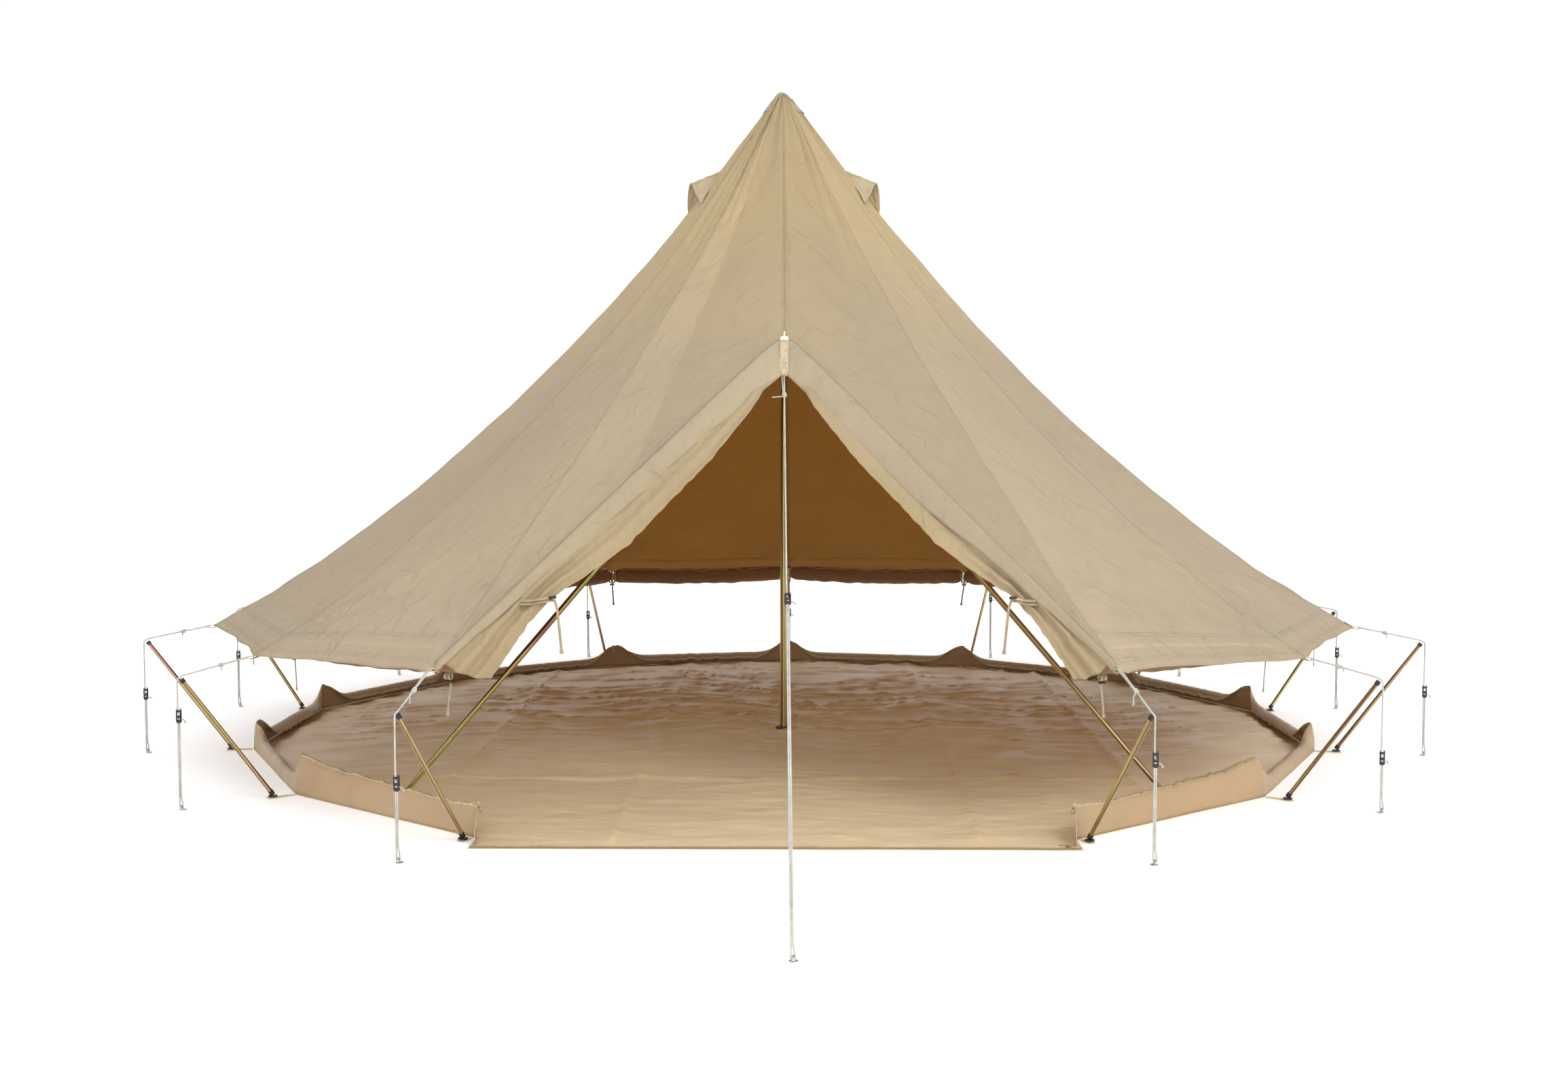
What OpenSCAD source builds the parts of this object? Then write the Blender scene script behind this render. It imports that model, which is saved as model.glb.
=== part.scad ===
/* [Canopy] */
// Height of the apex above the ground
apex_h = 3000; // [2900:10:3100]
// Radius of the eave at a corner
eave_r = 2600; // [2560:10:2640]
// Height of the eave at a corner
eave_h = 565; // [550:5:600]
// Sag of a roof seam half-way down
seam_sag = 262; // [150:2:280]
// Sag of the two seams that end beside the door
front_sag = 110; // [20:5:160]
// Thickness of the roof and wall cloth
canvas_t = 4; // [3:0.5:5]
// Share of the roof's slope that the loose eave flap takes
flap_share = 0.05; // [0.04:0.01:0.08]
// Radius of the rolled-up wall
roll_r = 42; // [30:1:45]

/* [Door] */
// Distance of the door's peak and its frame to the right of the centre pole
door_x = 24; // [0:2:30]
// Distance of the door's peak in front of the centre pole
peak_y = 1700; // [1650:10:1750]
// Height of the door's peak
peak_h = 1765; // [1750:5:1800]
// Radius of the two eave corners beside the door
front_r = 2680; // [2650:10:2700]
// Height of the two eave corners beside the door
front_h = 630; // [600:5:650]
// Width of the awning along the door's edges
awning_w = 110; // [90:5:130]
// Half the distance between the feet of the door frame
frame_x = 1480; // [1440:10:1500]
// Diameter of the door frame's upper tube
frame_d = 22; // [20:0.5:25]

/* [Poles] */
// Diameter of the lowest section of the centre pole
pole_d = 32; // [30:0.5:35]
// Length of one section of the centre pole
section_l = 742; // [735:1:745]
// Diameter of a wall pole
wall_pole_d = 16; // [14:0.5:18]
// Radius at which the wall poles stand
pole_foot_r = 2532; // [2520:2:2545]
// Radius at which the wall poles end
pole_top_r = 2880; // [2870:2:2890]
// Height at which the wall poles end
pole_top_h = 500; // [480:5:520]

/* [Ropes] */
// Diameter of a guy rope
rope_d = 5; // [4:0.5:5]
// Radius at which the ropes hang from the wall poles to their pegs
rope_r = 2896; // [2894:1:2910]
// Distance of the front peg to the right of the centre pole
front_peg_x = 65; // [40:5:80]
// Distance of the front peg in front of the centre pole
front_peg_y = 3680; // [3600:10:3750]
// Length of a rope slider
slider_l = 52; // [45:1:56]

/* [Groundsheet] */
// Radius of the floor at a corner
floor_r = 2440; // [2430:2:2445]
// Distance of the floor's straight front edge in front of the centre pole
floor_front = 2400; // [2390:2:2410]
// Height of the groundsheet's wall at a corner
wall_h = 160; // [120:5:180]
// Thickness of the groundsheet
sheet_t = 2; // [1.5:0.1:3]

/* [Hidden] */
sides = 14;
corners = sides - 1;
step = 360 / sides;
gap = 0.3;
seam_gap = 1;
top_share = 0.03;
tube_wall = 1.4;
cloth = "#cdb78d";
inner_cloth = "#a98a5b";
sheet_brown = "#a9805a";
zinc = "#b8a25a";
steel = "#b9bcbe";
black = "#202022";
webbing = "#cbbb98";

// Height of each slider's middle, counter-clockwise from the corner to the right of the door
slider_z = [355, 210, 285, 290, 300, 375, 250, 265, 280, 265, 265, 360, 270];

// Route of the rope at a corner: distance from the tent's axis, then height
rope_start = [28, -6];
rope_over_cap = [2874, 512];
rope_past_cap_h = 500;
rope_turn_h = 9;
turn_w = 13;
strand_gap = 7;

// Route of the front rope
front_rope_start = [door_x, -1755, 1640];
front_slider_share = 0.46;

// Front corners of the groundsheet: half its width there, and where its walls end
floor_front_x = 1060;
wall_end_y = 2250;

// ---- Places ----

function unit(v) = v / norm(v);
function mix(a, b, t) = a + (b - a) * t;

// A point at distance r from the axis towards corner k, at height z
function around(k, r, z) = [r * sin(k * step), -r * cos(k * step), z];

function is_front(k) = k == 1 || k == corners;
function eave_corner(k) = is_front(k) ? around(k, front_r, front_h) : around(k, eave_r, eave_h);
function corner_sag(k) = is_front(k) ? front_sag : seam_sag;

apex = [0, 0, apex_h];
peak = [door_x, -peak_y, peak_h];

// A point of a roof panel: u runs from the apex to the lower edge, v from edge point a to b
function roof_point(a, b, sag_a, sag_b, u, v) =
    mix(apex, mix(a, b, v), u) - [0, 0, 4 * mix(sag_a, sag_b, v) * u * (1 - u)];

// The grid of a roof panel, kept clear of the seams on its two sides
function roof_grid(a, b, sag_a, sag_b, u0, u1, rows, cols, gap_a, gap_b) = [
    for (i = [0:rows])
        let (u = mix(u0, u1, i / rows), w = u * norm(b - a))
        [for (j = [0:cols])
            roof_point(a, b, sag_a, sag_b, u, mix(gap_a / w, 1 - gap_b / w, j / cols))]
];

// ---- Shapes ----

// A thin closed sheet: a grid of points, and the same grid moved by shift
module sheet(grid, shift) {
    rows = len(grid);
    cols = len(grid[0]);
    n = rows * cols;
    upper = [for (row = grid) for (p = row) p];
    function id(i, j) = i * cols + j;
    rim = concat(
        [for (j = [0:cols - 1]) id(0, j)],
        [for (i = [1:rows - 1]) id(i, cols - 1)],
        [for (j = [cols - 2:-1:0]) id(rows - 1, j)],
        [for (i = [rows - 2:-1:1]) id(i, 0)]
    );
    top = [for (i = [0:rows - 2], j = [0:cols - 2])
        each [[id(i, j), id(i, j + 1), id(i + 1, j + 1)],
              [id(i, j), id(i + 1, j + 1), id(i + 1, j)]]];
    under = [for (f = top) [f[2] + n, f[1] + n, f[0] + n]];
    edge = [for (i = [0:len(rim) - 1])
        let (a = rim[i], b = rim[(i + 1) % len(rim)])
        each [[b, a, a + n], [b, a + n, b + n]]];
    polyhedron(concat(upper, [for (p = upper) p + shift]), concat(top, under, edge));
}

// Rings of a tube along a route: each ring lies on the plane that halves the bend
function on_plane(offsets, along, normal) =
    [for (o = offsets) o - along * (o * normal) / (along * normal)];
function across(offsets, along) = [for (o = offsets) o - along * (o * along)];
function rings(route, i, offsets) =
    i == len(route) ? [] :
    let (
        last = len(route) - 1,
        into = unit(i == 0 ? route[1] - route[0] : route[i] - route[i - 1]),
        out = unit(i == last ? route[last] - route[last - 1] : route[i + 1] - route[i]),
        ring = on_plane(offsets, into, unit(into + out))
    )
    concat([[for (o = ring) route[i] + o]], rings(route, i + 1, across(ring, out)));

module tube(route, d, facets = 8) {
    along = unit(route[1] - route[0]);
    side = unit(cross(along, [0.3, 0.5, 1]));
    up = cross(side, along);
    first = [for (i = [0:facets - 1])
        (side * cos(i * 360 / facets) + up * sin(i * 360 / facets)) * d / 2];
    all = rings(route, 0, first);
    n = len(all);
    walls = [for (i = [0:n - 2], j = [0:facets - 1])
        let (a = i * facets + j, b = i * facets + (j + 1) % facets)
        each [[a, b, b + facets], [a, b + facets, a + facets]]];
    start = [for (j = [facets - 1:-1:0]) j];
    end = [for (j = [0:facets - 1]) (n - 1) * facets + j];
    polyhedron([for (ring = all) each ring], concat(walls, [start, end]));
}

// Moves and turns a shape's +Z axis to run from a to b
module along(a, b) {
    d = b - a;
    translate(a)
        rotate([0, acos(d[2] / norm(d)), atan2(d[1], d[0])])
            children();
}

module pipe(a, b, outer_d, inner_d) {
    along(a, b) difference() {
        cylinder(h = norm(b - a), d = outer_d, $fn = 48);
        translate([0, 0, -1])
            cylinder(h = norm(b - a) + 2, d = inner_d, $fn = 48);
    }
}

module at_corners(first = 1, last = corners) {
    for (k = [first:last]) rotate([0, 0, k * step]) children();
}

// ---- Centre pole ----

foot_t = 12;
foot_z = sheet_t + gap;
spigot_l = 60;
// Each section is two walls and a running gap thinner than the one below it
function section_d(i) = pole_d - i * (2 * tube_wall + 0.2);
function section_z(i) = foot_z + 3 + i * section_l;

module centre_pole_foot() {
    color(black) difference() {
        translate([0, 0, foot_z]) cylinder(h = foot_t, d = 76, $fn = 72);
        translate([0, 0, foot_z + 3]) cylinder(h = foot_t, d = pole_d + 0.2, $fn = 48);
    }
}

module centre_pole_section(i) {
    low = section_z(i) - (i == 0 ? 0 : spigot_l);
    high = i == 3 ? apex_h - 42 : section_z(i + 1);
    color(zinc)
        pipe([0, 0, low], [0, 0, high], section_d(i), section_d(i) - 2 * tube_wall);
}

module centre_pole_plug() {
    d = section_d(3);
    color(black) translate([0, 0, apex_h - 42]) {
        translate([0, 0, gap / 3]) cylinder(h = 18, d1 = d, d2 = d - 8, $fn = 48);
        translate([0, 0, -25]) cylinder(h = 26, d = d - 2 * tube_wall - 0.2, $fn = 48);
    }
}

// ---- Door frame ----

frame_head = [door_x, -1698, 1745];
frame_foot_z = sheet_t + gap;
function frame_foot(side) = [door_x + side * frame_x, -1760, frame_foot_z + 16];
function leg_point(side, t) = mix(frame_head, frame_foot(side), t);
socket_share = 0.011;
head_share = 0.035;
split_share = 0.71;
lower_leg_d = frame_d - 2 * tube_wall - 0.2;

module door_frame_head() {
    color(steel) difference() {
        union() {
            translate(frame_head - [0, 0, 22]) cylinder(h = 40, d = 32, $fn = 48);
            translate(frame_head) cylinder(h = 62, d = 8, $fn = 32);
            for (s = [-1, 1])
                along(frame_head, frame_foot(s))
                    cylinder(h = norm(frame_foot(s) - frame_head) * head_share, d = frame_d + 5, $fn = 48);
        }
        for (s = [-1, 1])
            along(leg_point(s, socket_share), frame_foot(s))
                cylinder(h = 200, d = frame_d + 0.1, $fn = 48);
    }
}

module door_frame_upper_legs() {
    color(zinc) for (s = [-1, 1])
        pipe(leg_point(s, socket_share + 0.0003), leg_point(s, split_share),
            frame_d, frame_d - 2 * tube_wall);
}

module door_frame_lower_legs() {
    color(zinc) for (s = [-1, 1])
        pipe(leg_point(s, split_share - 0.03), leg_point(s, 0.998),
            lower_leg_d, lower_leg_d - 2 * tube_wall);
}

module door_frame_feet() {
    color(black) for (s = [-1, 1]) difference() {
        union() {
            along(frame_foot(s), frame_head)
                translate([0, 0, -6]) cylinder(h = 46, d = frame_d + 4, $fn = 48);
            translate(frame_foot(s) - [0, 0, 16]) cylinder(h = 8, d = 40, $fn = 48);
        }
        along(leg_point(s, 0.999), frame_head)
            cylinder(h = 200, d = lower_leg_d + 0.2, $fn = 48);
        translate(frame_foot(s) - [0, 0, 66]) cube([200, 200, 100], center = true);
    }
}

module door_spike_cap() {
    color("white") difference() {
        translate(frame_head + [0, 0, 30]) cylinder(h = 14, d1 = 33, d2 = 26, $fn = 48);
        translate(frame_head) cylinder(h = 70, d = 8.2, $fn = 32);
    }
}

// ---- Wall poles ----

pole_foot = [pole_foot_r, 15];
pole_top = [pole_top_r - 6, pole_top_h - 10];
pole_axis = unit(pole_top - pole_foot);
function on_pole(s) = pole_foot + pole_axis * s;
pole_l = norm(pole_top - pole_foot);

// A place s along a wall pole, for the corner that faces -Y
function pole_at(s) = [0, -on_pole(s)[0], on_pole(s)[1]];

module wall_poles() {
    color(zinc) at_corners()
        pipe(pole_at(6), pole_at(pole_l), wall_pole_d, wall_pole_d - 2 * 1.2);
}

module wall_pole_caps() {
    color(black) at_corners() difference() {
        along(pole_at(pole_l - 5), pole_at(pole_l)) cylinder(h = 15, d = wall_pole_d + 3, $fn = 48);
        along(pole_at(pole_l - 30), pole_at(pole_l))
            cylinder(h = 30.1, d = wall_pole_d + 0.2, $fn = 48);
    }
}

module wall_pole_feet() {
    color(black) at_corners() {
        difference() {
            union() {
                along(pole_at(0), pole_at(pole_l)) cylinder(h = 18, d = wall_pole_d + 4, $fn = 48);
                translate([0, -pole_foot_r, 6]) cylinder(h = 4, d = 36, $fn = 48);
            }
            along(pole_at(5.9), pole_at(pole_l)) cylinder(h = 60, d = wall_pole_d + 0.2, $fn = 48);
        }
        translate([0, -pole_foot_r, 0]) cylinder(h = 7, d = 7, $fn = 32);
    }
}

// ---- Groundsheet ----

function floor_corner(k) = k == 1 ? [floor_front_x, -wall_end_y]
    : k == corners ? [-floor_front_x, -wall_end_y]
    : [floor_r * sin(k * step), -floor_r * cos(k * step)];

module groundsheet_floor() {
    color(sheet_brown) linear_extrude(sheet_t) polygon([
        for (k = [1:corners]) floor_corner(k),
        [-floor_front_x, -floor_front],
        [floor_front_x, -floor_front]
    ]);
}

// One wall stands up between two corners, leans inwards and droops in the middle
function wall_grid(a, b) = [
    for (rise = [1, 0]) [for (j = [0:6])
        let (
            v = mix(0.004, 0.996, j / 6),
            droop = sin(180 * v),
            foot = mix(a, b, v) * 0.998,
            lean = rise * (22 + 26 * droop)
        )
        [foot[0] * (1 - lean / floor_r), foot[1] * (1 - lean / floor_r),
            sheet_t + gap + rise * wall_h * (1 - 0.5 * droop)]]
];

module groundsheet_walls() {
    color(sheet_brown) for (k = [1:corners - 1]) {
        middle = (floor_corner(k) + floor_corner(k + 1)) / 2;
        inwards = -unit(middle) * 3;
        sheet(wall_grid(floor_corner(k), floor_corner(k + 1)), [inwards[0], inwards[1], 0.5]);
    }
}

tab_w = 25;
tab_hole_d = 14;
tab_t = 2;

module corner_tabs() {
    color(webbing) for (k = [1:corners]) {
        start = norm(floor_corner(k)) + 4;
        rotate([0, 0, k * step]) difference() {
            translate([-tab_w / 2, -pole_foot_r - 22, 0])
                cube([tab_w, pole_foot_r + 22 - start, tab_t]);
            translate([0, -pole_foot_r, -1]) cylinder(h = 5, d = tab_hole_d, $fn = 48);
        }
    }
}

module tab_eyelets() {
    color(steel) at_corners() translate([0, -pole_foot_r, 0]) rotate_extrude($fn = 48)
        polygon([[4.5, 0.4], [6.8, 0.4], [6.8, 2.2], [10.5, 2.2], [10.5, 3.2], [4.5, 3.2]]);
}

// ---- Zip along the front edge ----

tape_w = 18;
tape_t = 1.2;
teeth_w = 6;
teeth_h = 3;
zip_y = -floor_front + 12;
tape_z = sheet_t + gap;
zip_l = 2 * floor_front_x - 40;
slider_x = 1010;
bridge_z = 14;

module door_zip() {
    color(webbing) translate([-zip_l / 2, zip_y - tape_w / 2, tape_z])
        cube([zip_l, tape_w, tape_t]);
    color(steel) translate([-zip_l / 2, zip_y - teeth_w / 2, tape_z])
        cube([zip_l, teeth_w, tape_t + teeth_h]);
}

module zip_slider() {
    color(steel) translate([slider_x, zip_y, 0]) {
        difference() {
            translate([-9, -6, tape_z + tape_t + 0.4]) cube([18, 12, teeth_h + 3]);
            translate([-10, -teeth_w / 2 - 0.5, 0])
                cube([20, teeth_w + 1, tape_z + tape_t + teeth_h + 0.5]);
        }
        for (s = [-1, 1]) translate([-2, s * 5 - 1, 9]) cube([4, 2, bridge_z - 9 + 1.5]);
        translate([0, 6, bridge_z]) rotate([90, 0, 0]) cylinder(h = 12, r = 1.5, $fn = 32);
    }
}

module zip_pull() {
    color(steel) translate([slider_x, zip_y, bridge_z]) difference() {
        union() {
            translate([0, 3, 0]) rotate([90, 0, 0]) cylinder(h = 6, r = 3, $fn = 32);
            translate([-34, -3, -1]) cube([34, 6, 2]);
        }
        translate([0, 5, 0]) rotate([90, 0, 0]) cylinder(h = 10, r = 1.55, $fn = 32);
        translate([-29, 0, -5]) cylinder(h = 10, r = 1.6, $fn = 24);
    }
}

// ---- Canopy ----

roof_rows = 10;
front_seam_gap = 7;
seam_end = 1 - flap_share;

module roof_panels() {
    color(cloth) {
        for (k = [1:corners - 1])
            sheet(roof_grid(eave_corner(k), eave_corner(k + 1), corner_sag(k), corner_sag(k + 1),
                top_share, seam_end - 0.001, roof_rows, 2, seam_gap, seam_gap), [0, 0, -canvas_t]);
        sheet(roof_grid(peak, eave_corner(1), 0, front_sag, 1.4 * top_share, 0.985,
            roof_rows, 2, front_seam_gap, seam_gap), [0, 0, -canvas_t]);
        sheet(roof_grid(eave_corner(corners), peak, front_sag, 0, 1.4 * top_share, 0.985,
            roof_rows, 2, seam_gap, front_seam_gap), [0, 0, -canvas_t]);
    }
}

module eave_flap() {
    color(cloth) for (k = [1:corners - 1])
        sheet(roof_grid(eave_corner(k), eave_corner(k + 1), corner_sag(k), corner_sag(k + 1),
            seam_end + 0.001, 1, 1, 2, seam_gap, seam_gap), [0, 0, -canvas_t]);
}

module apex_cap() {
    color(cloth) translate([0, 0, apex_h]) rotate_extrude($fn = 56)
        polygon([[0, -12], [14, -18], [58, -84], [62, -82], [18, -12], [10, 2], [0, 6]]);
}

// Points along one edge of the door, and the direction across it that hangs down
function door_edge(k, v) = mix(peak, eave_corner(k), v);
function hang(k) =
    let (e = unit(eave_corner(k) - peak), down = [0, 0, -1])
    unit(down - e * (down * e));

// A strip that hangs from a door edge: rows are [share of the edge, width]
function strip_grid(k, rows, top_drop, back) = [
    for (row = rows)
        let (p = door_edge(k, row[0]) + [0, back, 0])
        k == 1 ? [p + hang(k) * top_drop, p + hang(k) * row[1]]
            : [p + hang(k) * row[1], p + hang(k) * top_drop]
];

module door_awning() {
    color(cloth) for (k = [1, corners])
        sheet(strip_grid(k, [[0.045, 70], [0.12, awning_w], [0.95, awning_w]], 12, 0), [0, 3, 0]);
}

module door_flaps() {
    color(cloth) for (k = [1, corners])
        sheet(strip_grid(k, [[0.1, 140], [0.4, 170], [0.7, 190], [0.92, 60]], 14, 28), [0, 3, 0]);
}

// A vent hood: two cloth plates that meet in a ridge and stand off the roof over the vent
vent_u = [0.1, 0.168];
vent_lift = 135;
vent_out = 20;
vent_half = 85;

module vent_hoods() {
    color(cloth) for (s = [-1, 1]) {
        top = roof_at_side(s, vent_u[0]) + [0, 0, 12];
        rim = roof_at_side(s, vent_u[1]) + [s * vent_out, 0, vent_lift];
        for (t = [-1, 1]) {
            low = roof_at_side(s, vent_u[1]) + [s * 12, t * vent_half, 4];
            start = top + [0, t, 0];
            end = rim + [0, t, 0];
            grid = s * t > 0 ? [[start, start + [0, t, -1]], [end, low]]
                : [[start + [0, t, -1], start], [low, end]];
            sheet(grid, [0, 0, 4]);
        }
    }
}

// A point on the roof half-way between two corners, straight to the left or right
function roof_at_side(s, u) =
    let (r = u * eave_r * cos(step / 2))
    [s * r, 0, apex_h - u * (apex_h - eave_h) - 4 * seam_sag * u * (1 - u)];

// ---- Rolled-up wall, its ties and the loops at the eave ----

roll_radius = 2440;
roll_z = eave_h - 18;
front_roll_z = roll_z + 18;

function roll_end(k) = around(k, roll_radius, is_front(k) ? front_roll_z : roll_z);

module rolled_walls() {
    color(inner_cloth) for (k = [1:corners - 1]) {
        a = mix(roll_end(k), roll_end(k + 1), 0.03);
        b = mix(roll_end(k), roll_end(k + 1), 0.97);
        along(a, b) cylinder(h = norm(b - a), r = roll_r, $fn = 32);
    }
}

tie_r = roll_radius - 10;
tie_l = 130;

module wall_ties() {
    color(webbing) at_corners() translate([-6, -tie_r, roll_z - 50 - tie_l])
        cube([12, 1.5, tie_l]);
}

module tie_toggles() {
    color(black) at_corners() translate([-14, -tie_r - 6, roll_z - 62])
        rotate([0, 90, 0]) cylinder(h = 28, d = 10, $fn = 32);
}

module eave_loops() {
    color(webbing) for (k = [1:corners]) {
        c = eave_corner(k);
        r = norm([c[0], c[1]]);
        rotate([0, 0, k * step]) translate([0, -r - 2, c[2] - 6]) difference() {
            translate([-10, -24, -1.5]) cube([20, 24, 3]);
            translate([0, -15, -5]) cylinder(h = 10, d = 9, $fn = 32);
        }
    }
}

// ---- Ropes, sliders and pegs ----

// The foot of the rope at a corner, or in front of the door
function rope_foot(k) = k == 0 ? [front_peg_x, -front_peg_y, 0] : around(k, rope_r, 0);
function side_rope_top(k) = around(k, norm([eave_corner(k)[0], eave_corner(k)[1]]) + rope_start[0],
    eave_corner(k)[2] + rope_start[1]);

front_rope_foot = rope_foot(0) + [0, 0, rope_turn_h];
front_rope_dir = unit(front_rope_start - front_rope_foot);
front_slider_at = mix(front_rope_foot, front_rope_start, 1 - front_slider_share);

function slider_middle(k) = k == 0 ? front_slider_at : rope_foot(k) + [0, 0, slider_z[k - 1]];

function rope_route(k) = concat(
    k == 0 ? [front_rope_start] : [
        side_rope_top(k),
        around(k, rope_over_cap[0], rope_over_cap[1]),
        around(k, rope_r, rope_past_cap_h)
    ],
    [
        rope_foot(k) + [0, 0, rope_turn_h],
        rope_foot(k) + [turn_w, 0, rope_turn_h],
        slider_middle(k) + [strand_gap, 0, 0]
    ]
);

module guy_rope(k) {
    color("ivory") tube(rope_route(k), rope_d);
}

module rounded_slot(l, w, h) {
    translate([0, 0, -h / 2]) linear_extrude(h) {
        square([l - w, w], center = true);
        for (s = [-1, 1]) translate([s * (l - w) / 2, 0]) circle(d = w, $fn = 32);
    }
}

// The slot holds both strands, with room on one side for the strand that spreads towards the peg
slot_low = -rope_d / 2 - 0.8;
slot_high = strand_gap + rope_d / 2 + 3.7;

module slider_shape() {
    slot_l = slot_high - slot_low;
    slot_w = rope_d + 1.6;
    translate([(slot_low + slot_high) / 2, 0, 0]) difference() {
        rounded_slot(slot_l + 5, slot_w + 4.4, slider_l);
        rounded_slot(slot_l, slot_w, slider_l + 2);
        translate([0, 0, -4]) cube([7, 30, 18], center = true);
    }
}

module guy_slider(k) {
    color(black) translate(slider_middle(k)) {
        if (k == 0)
            rotate([-acos(front_rope_dir[2]), 0, atan2(-front_rope_dir[0], front_rope_dir[1])])
                slider_shape();
        else
            slider_shape();
    }
}

hook_z = rope_turn_h + rope_d / 2 + 0.6 + 3.6;

module pegs() {
    color(steel) for (k = [0:corners]) translate(rope_foot(k) + [turn_w / 2, 0, 0]) {
        translate([0, 14, 0]) cylinder(h = hook_z + 5, r = 3.6, $fn = 32);
        translate([0, 14, hook_z]) rotate([90, 0, 0]) cylinder(h = 24, r = 3.6, $fn = 32);
        translate([0, -10, hook_z]) rotate([90, 0, 0]) cylinder(h = 3, r = 7, $fn = 32);
    }
}

centre_pole_foot();
centre_pole_section(0);  // centre_pole_section_1
centre_pole_section(1);  // centre_pole_section_2
centre_pole_section(2);  // centre_pole_section_3
centre_pole_section(3);  // centre_pole_section_4
centre_pole_plug();
door_frame_head();
door_frame_upper_legs();
door_frame_lower_legs();
door_frame_feet();
door_spike_cap();
wall_poles();
wall_pole_caps();
wall_pole_feet();
pegs();
groundsheet_floor();
groundsheet_walls();
corner_tabs();
tab_eyelets();
door_zip();
zip_slider();
zip_pull();
roof_panels();
apex_cap();
eave_flap();
door_awning();
door_flaps();
vent_hoods();
rolled_walls();
wall_ties();
tie_toggles();
eave_loops();
guy_rope(1);  // guy_rope_1
guy_rope(2);  // guy_rope_2
guy_rope(3);  // guy_rope_3
guy_rope(4);  // guy_rope_4
guy_rope(5);  // guy_rope_5
guy_rope(6);  // guy_rope_6
guy_rope(7);  // guy_rope_7
guy_rope(8);  // guy_rope_8
guy_rope(9);  // guy_rope_9
guy_rope(10);  // guy_rope_10
guy_rope(11);  // guy_rope_11
guy_rope(12);  // guy_rope_12
guy_rope(13);  // guy_rope_13
guy_rope(0);  // guy_rope_front
guy_slider(1);  // guy_slider_1
guy_slider(2);  // guy_slider_2
guy_slider(3);  // guy_slider_3
guy_slider(4);  // guy_slider_4
guy_slider(5);  // guy_slider_5
guy_slider(6);  // guy_slider_6
guy_slider(7);  // guy_slider_7
guy_slider(8);  // guy_slider_8
guy_slider(9);  // guy_slider_9
guy_slider(10);  // guy_slider_10
guy_slider(11);  // guy_slider_11
guy_slider(12);  // guy_slider_12
guy_slider(13);  // guy_slider_13
guy_slider(0);  // guy_slider_front
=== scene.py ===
"""Bell tent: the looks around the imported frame. Metres, +Z up, the door faces -Y."""

import math

import bmesh
import bpy
import numpy as np
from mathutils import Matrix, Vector, noise


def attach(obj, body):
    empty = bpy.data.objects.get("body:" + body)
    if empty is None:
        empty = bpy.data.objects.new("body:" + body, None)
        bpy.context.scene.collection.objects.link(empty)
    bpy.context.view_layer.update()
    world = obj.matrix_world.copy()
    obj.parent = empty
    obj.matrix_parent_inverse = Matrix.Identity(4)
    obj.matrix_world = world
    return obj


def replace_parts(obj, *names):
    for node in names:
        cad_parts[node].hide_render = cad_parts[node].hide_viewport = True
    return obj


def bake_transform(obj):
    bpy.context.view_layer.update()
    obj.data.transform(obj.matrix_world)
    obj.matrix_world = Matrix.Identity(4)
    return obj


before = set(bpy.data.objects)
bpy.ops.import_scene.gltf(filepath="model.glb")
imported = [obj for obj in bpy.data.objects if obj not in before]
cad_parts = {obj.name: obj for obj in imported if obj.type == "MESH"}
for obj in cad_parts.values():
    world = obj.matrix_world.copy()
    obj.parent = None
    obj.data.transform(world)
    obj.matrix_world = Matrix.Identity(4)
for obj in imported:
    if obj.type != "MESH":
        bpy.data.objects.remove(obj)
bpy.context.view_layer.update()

# ---- Small helpers ----


def mix(a, b, t):
    return a + (b - a) * t


def vec(*parts):
    return np.array(parts, float)


def unit(v):
    return v / np.linalg.norm(v)


def level(v):
    """The direction of v, seen from above."""
    return unit(v * (1, 1, 0))


def hump(t):
    """0 at both ends of a span from 0 to 1, and 1 in its middle."""
    return np.sin(math.pi * t)


def wave(t, seed, count=4, low=2.0, high=9.0):
    """A smooth random line: a few sines of t, between about -1 and 1."""
    rng = np.random.default_rng(seed)
    total = np.zeros_like(np.asarray(t, float))
    for _ in range(count):
        total = total + np.sin(rng.uniform(low, high) * t + rng.uniform(0, math.tau))
    return total / count


def bell(x, width):
    return np.exp(-((x / width) ** 2))


def step_up(x, a, b):
    t = np.clip((x - a) / (b - a), 0, 1)
    return t * t * (3 - 2 * t)


# ---- Places, repeated from part.scad ----

SIDES = 14
CORNERS = SIDES - 1
STEP = math.tau / SIDES
Z = vec(0.0, 0.0, 1.0)
APEX = vec(0.0, 0.0, 3.0)
PEAK = vec(0.024, -1.7, 1.765)
# Radius and height of the eave's corners: the two beside the door, and the others.
FRONT_CORNER = (2.68, 0.63)
CORNER = (2.6, 0.565)
SEAM_SAG, FRONT_SAG = 0.262, 0.11
# The share of the way down a panel where the loose flap's seam is.
EAVE_SEAM = 0.95
# The cord's diameter, and the radius it is drawn with.
ROPE_D = 0.005
STRAND = 0.0031
# The circle of the pegs, and how the rope turns round one.
ROPE_R = 2.896
ROPE_TURN_H = 0.009
TURN_W = 0.013
STRAND_GAP = 0.007
FRONT_ROPE_START = vec(0.024, -1.755, 1.640)
FRONT_PEG = vec(0.065, -3.68, 0.0)
FRONT_SLIDER_SHARE = 0.46
SLIDER_Z = (0.355, 0.210, 0.285, 0.290, 0.300, 0.375, 0.250,
            0.265, 0.280, 0.265, 0.265, 0.360, 0.270)
FLOOR_R, FLOOR_FRONT, FLOOR_FRONT_X, WALL_END_Y = 2.44, 2.4, 1.06, 2.25
FLOOR_BACK = 2.437
SHEET_TOP = 0.002
ROLL_R, ROLL_RADIUS = 2.44, 0.042
ROLL_Z = CORNER[1] - 0.018

# ---- How thick each cloth is drawn ----

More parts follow.
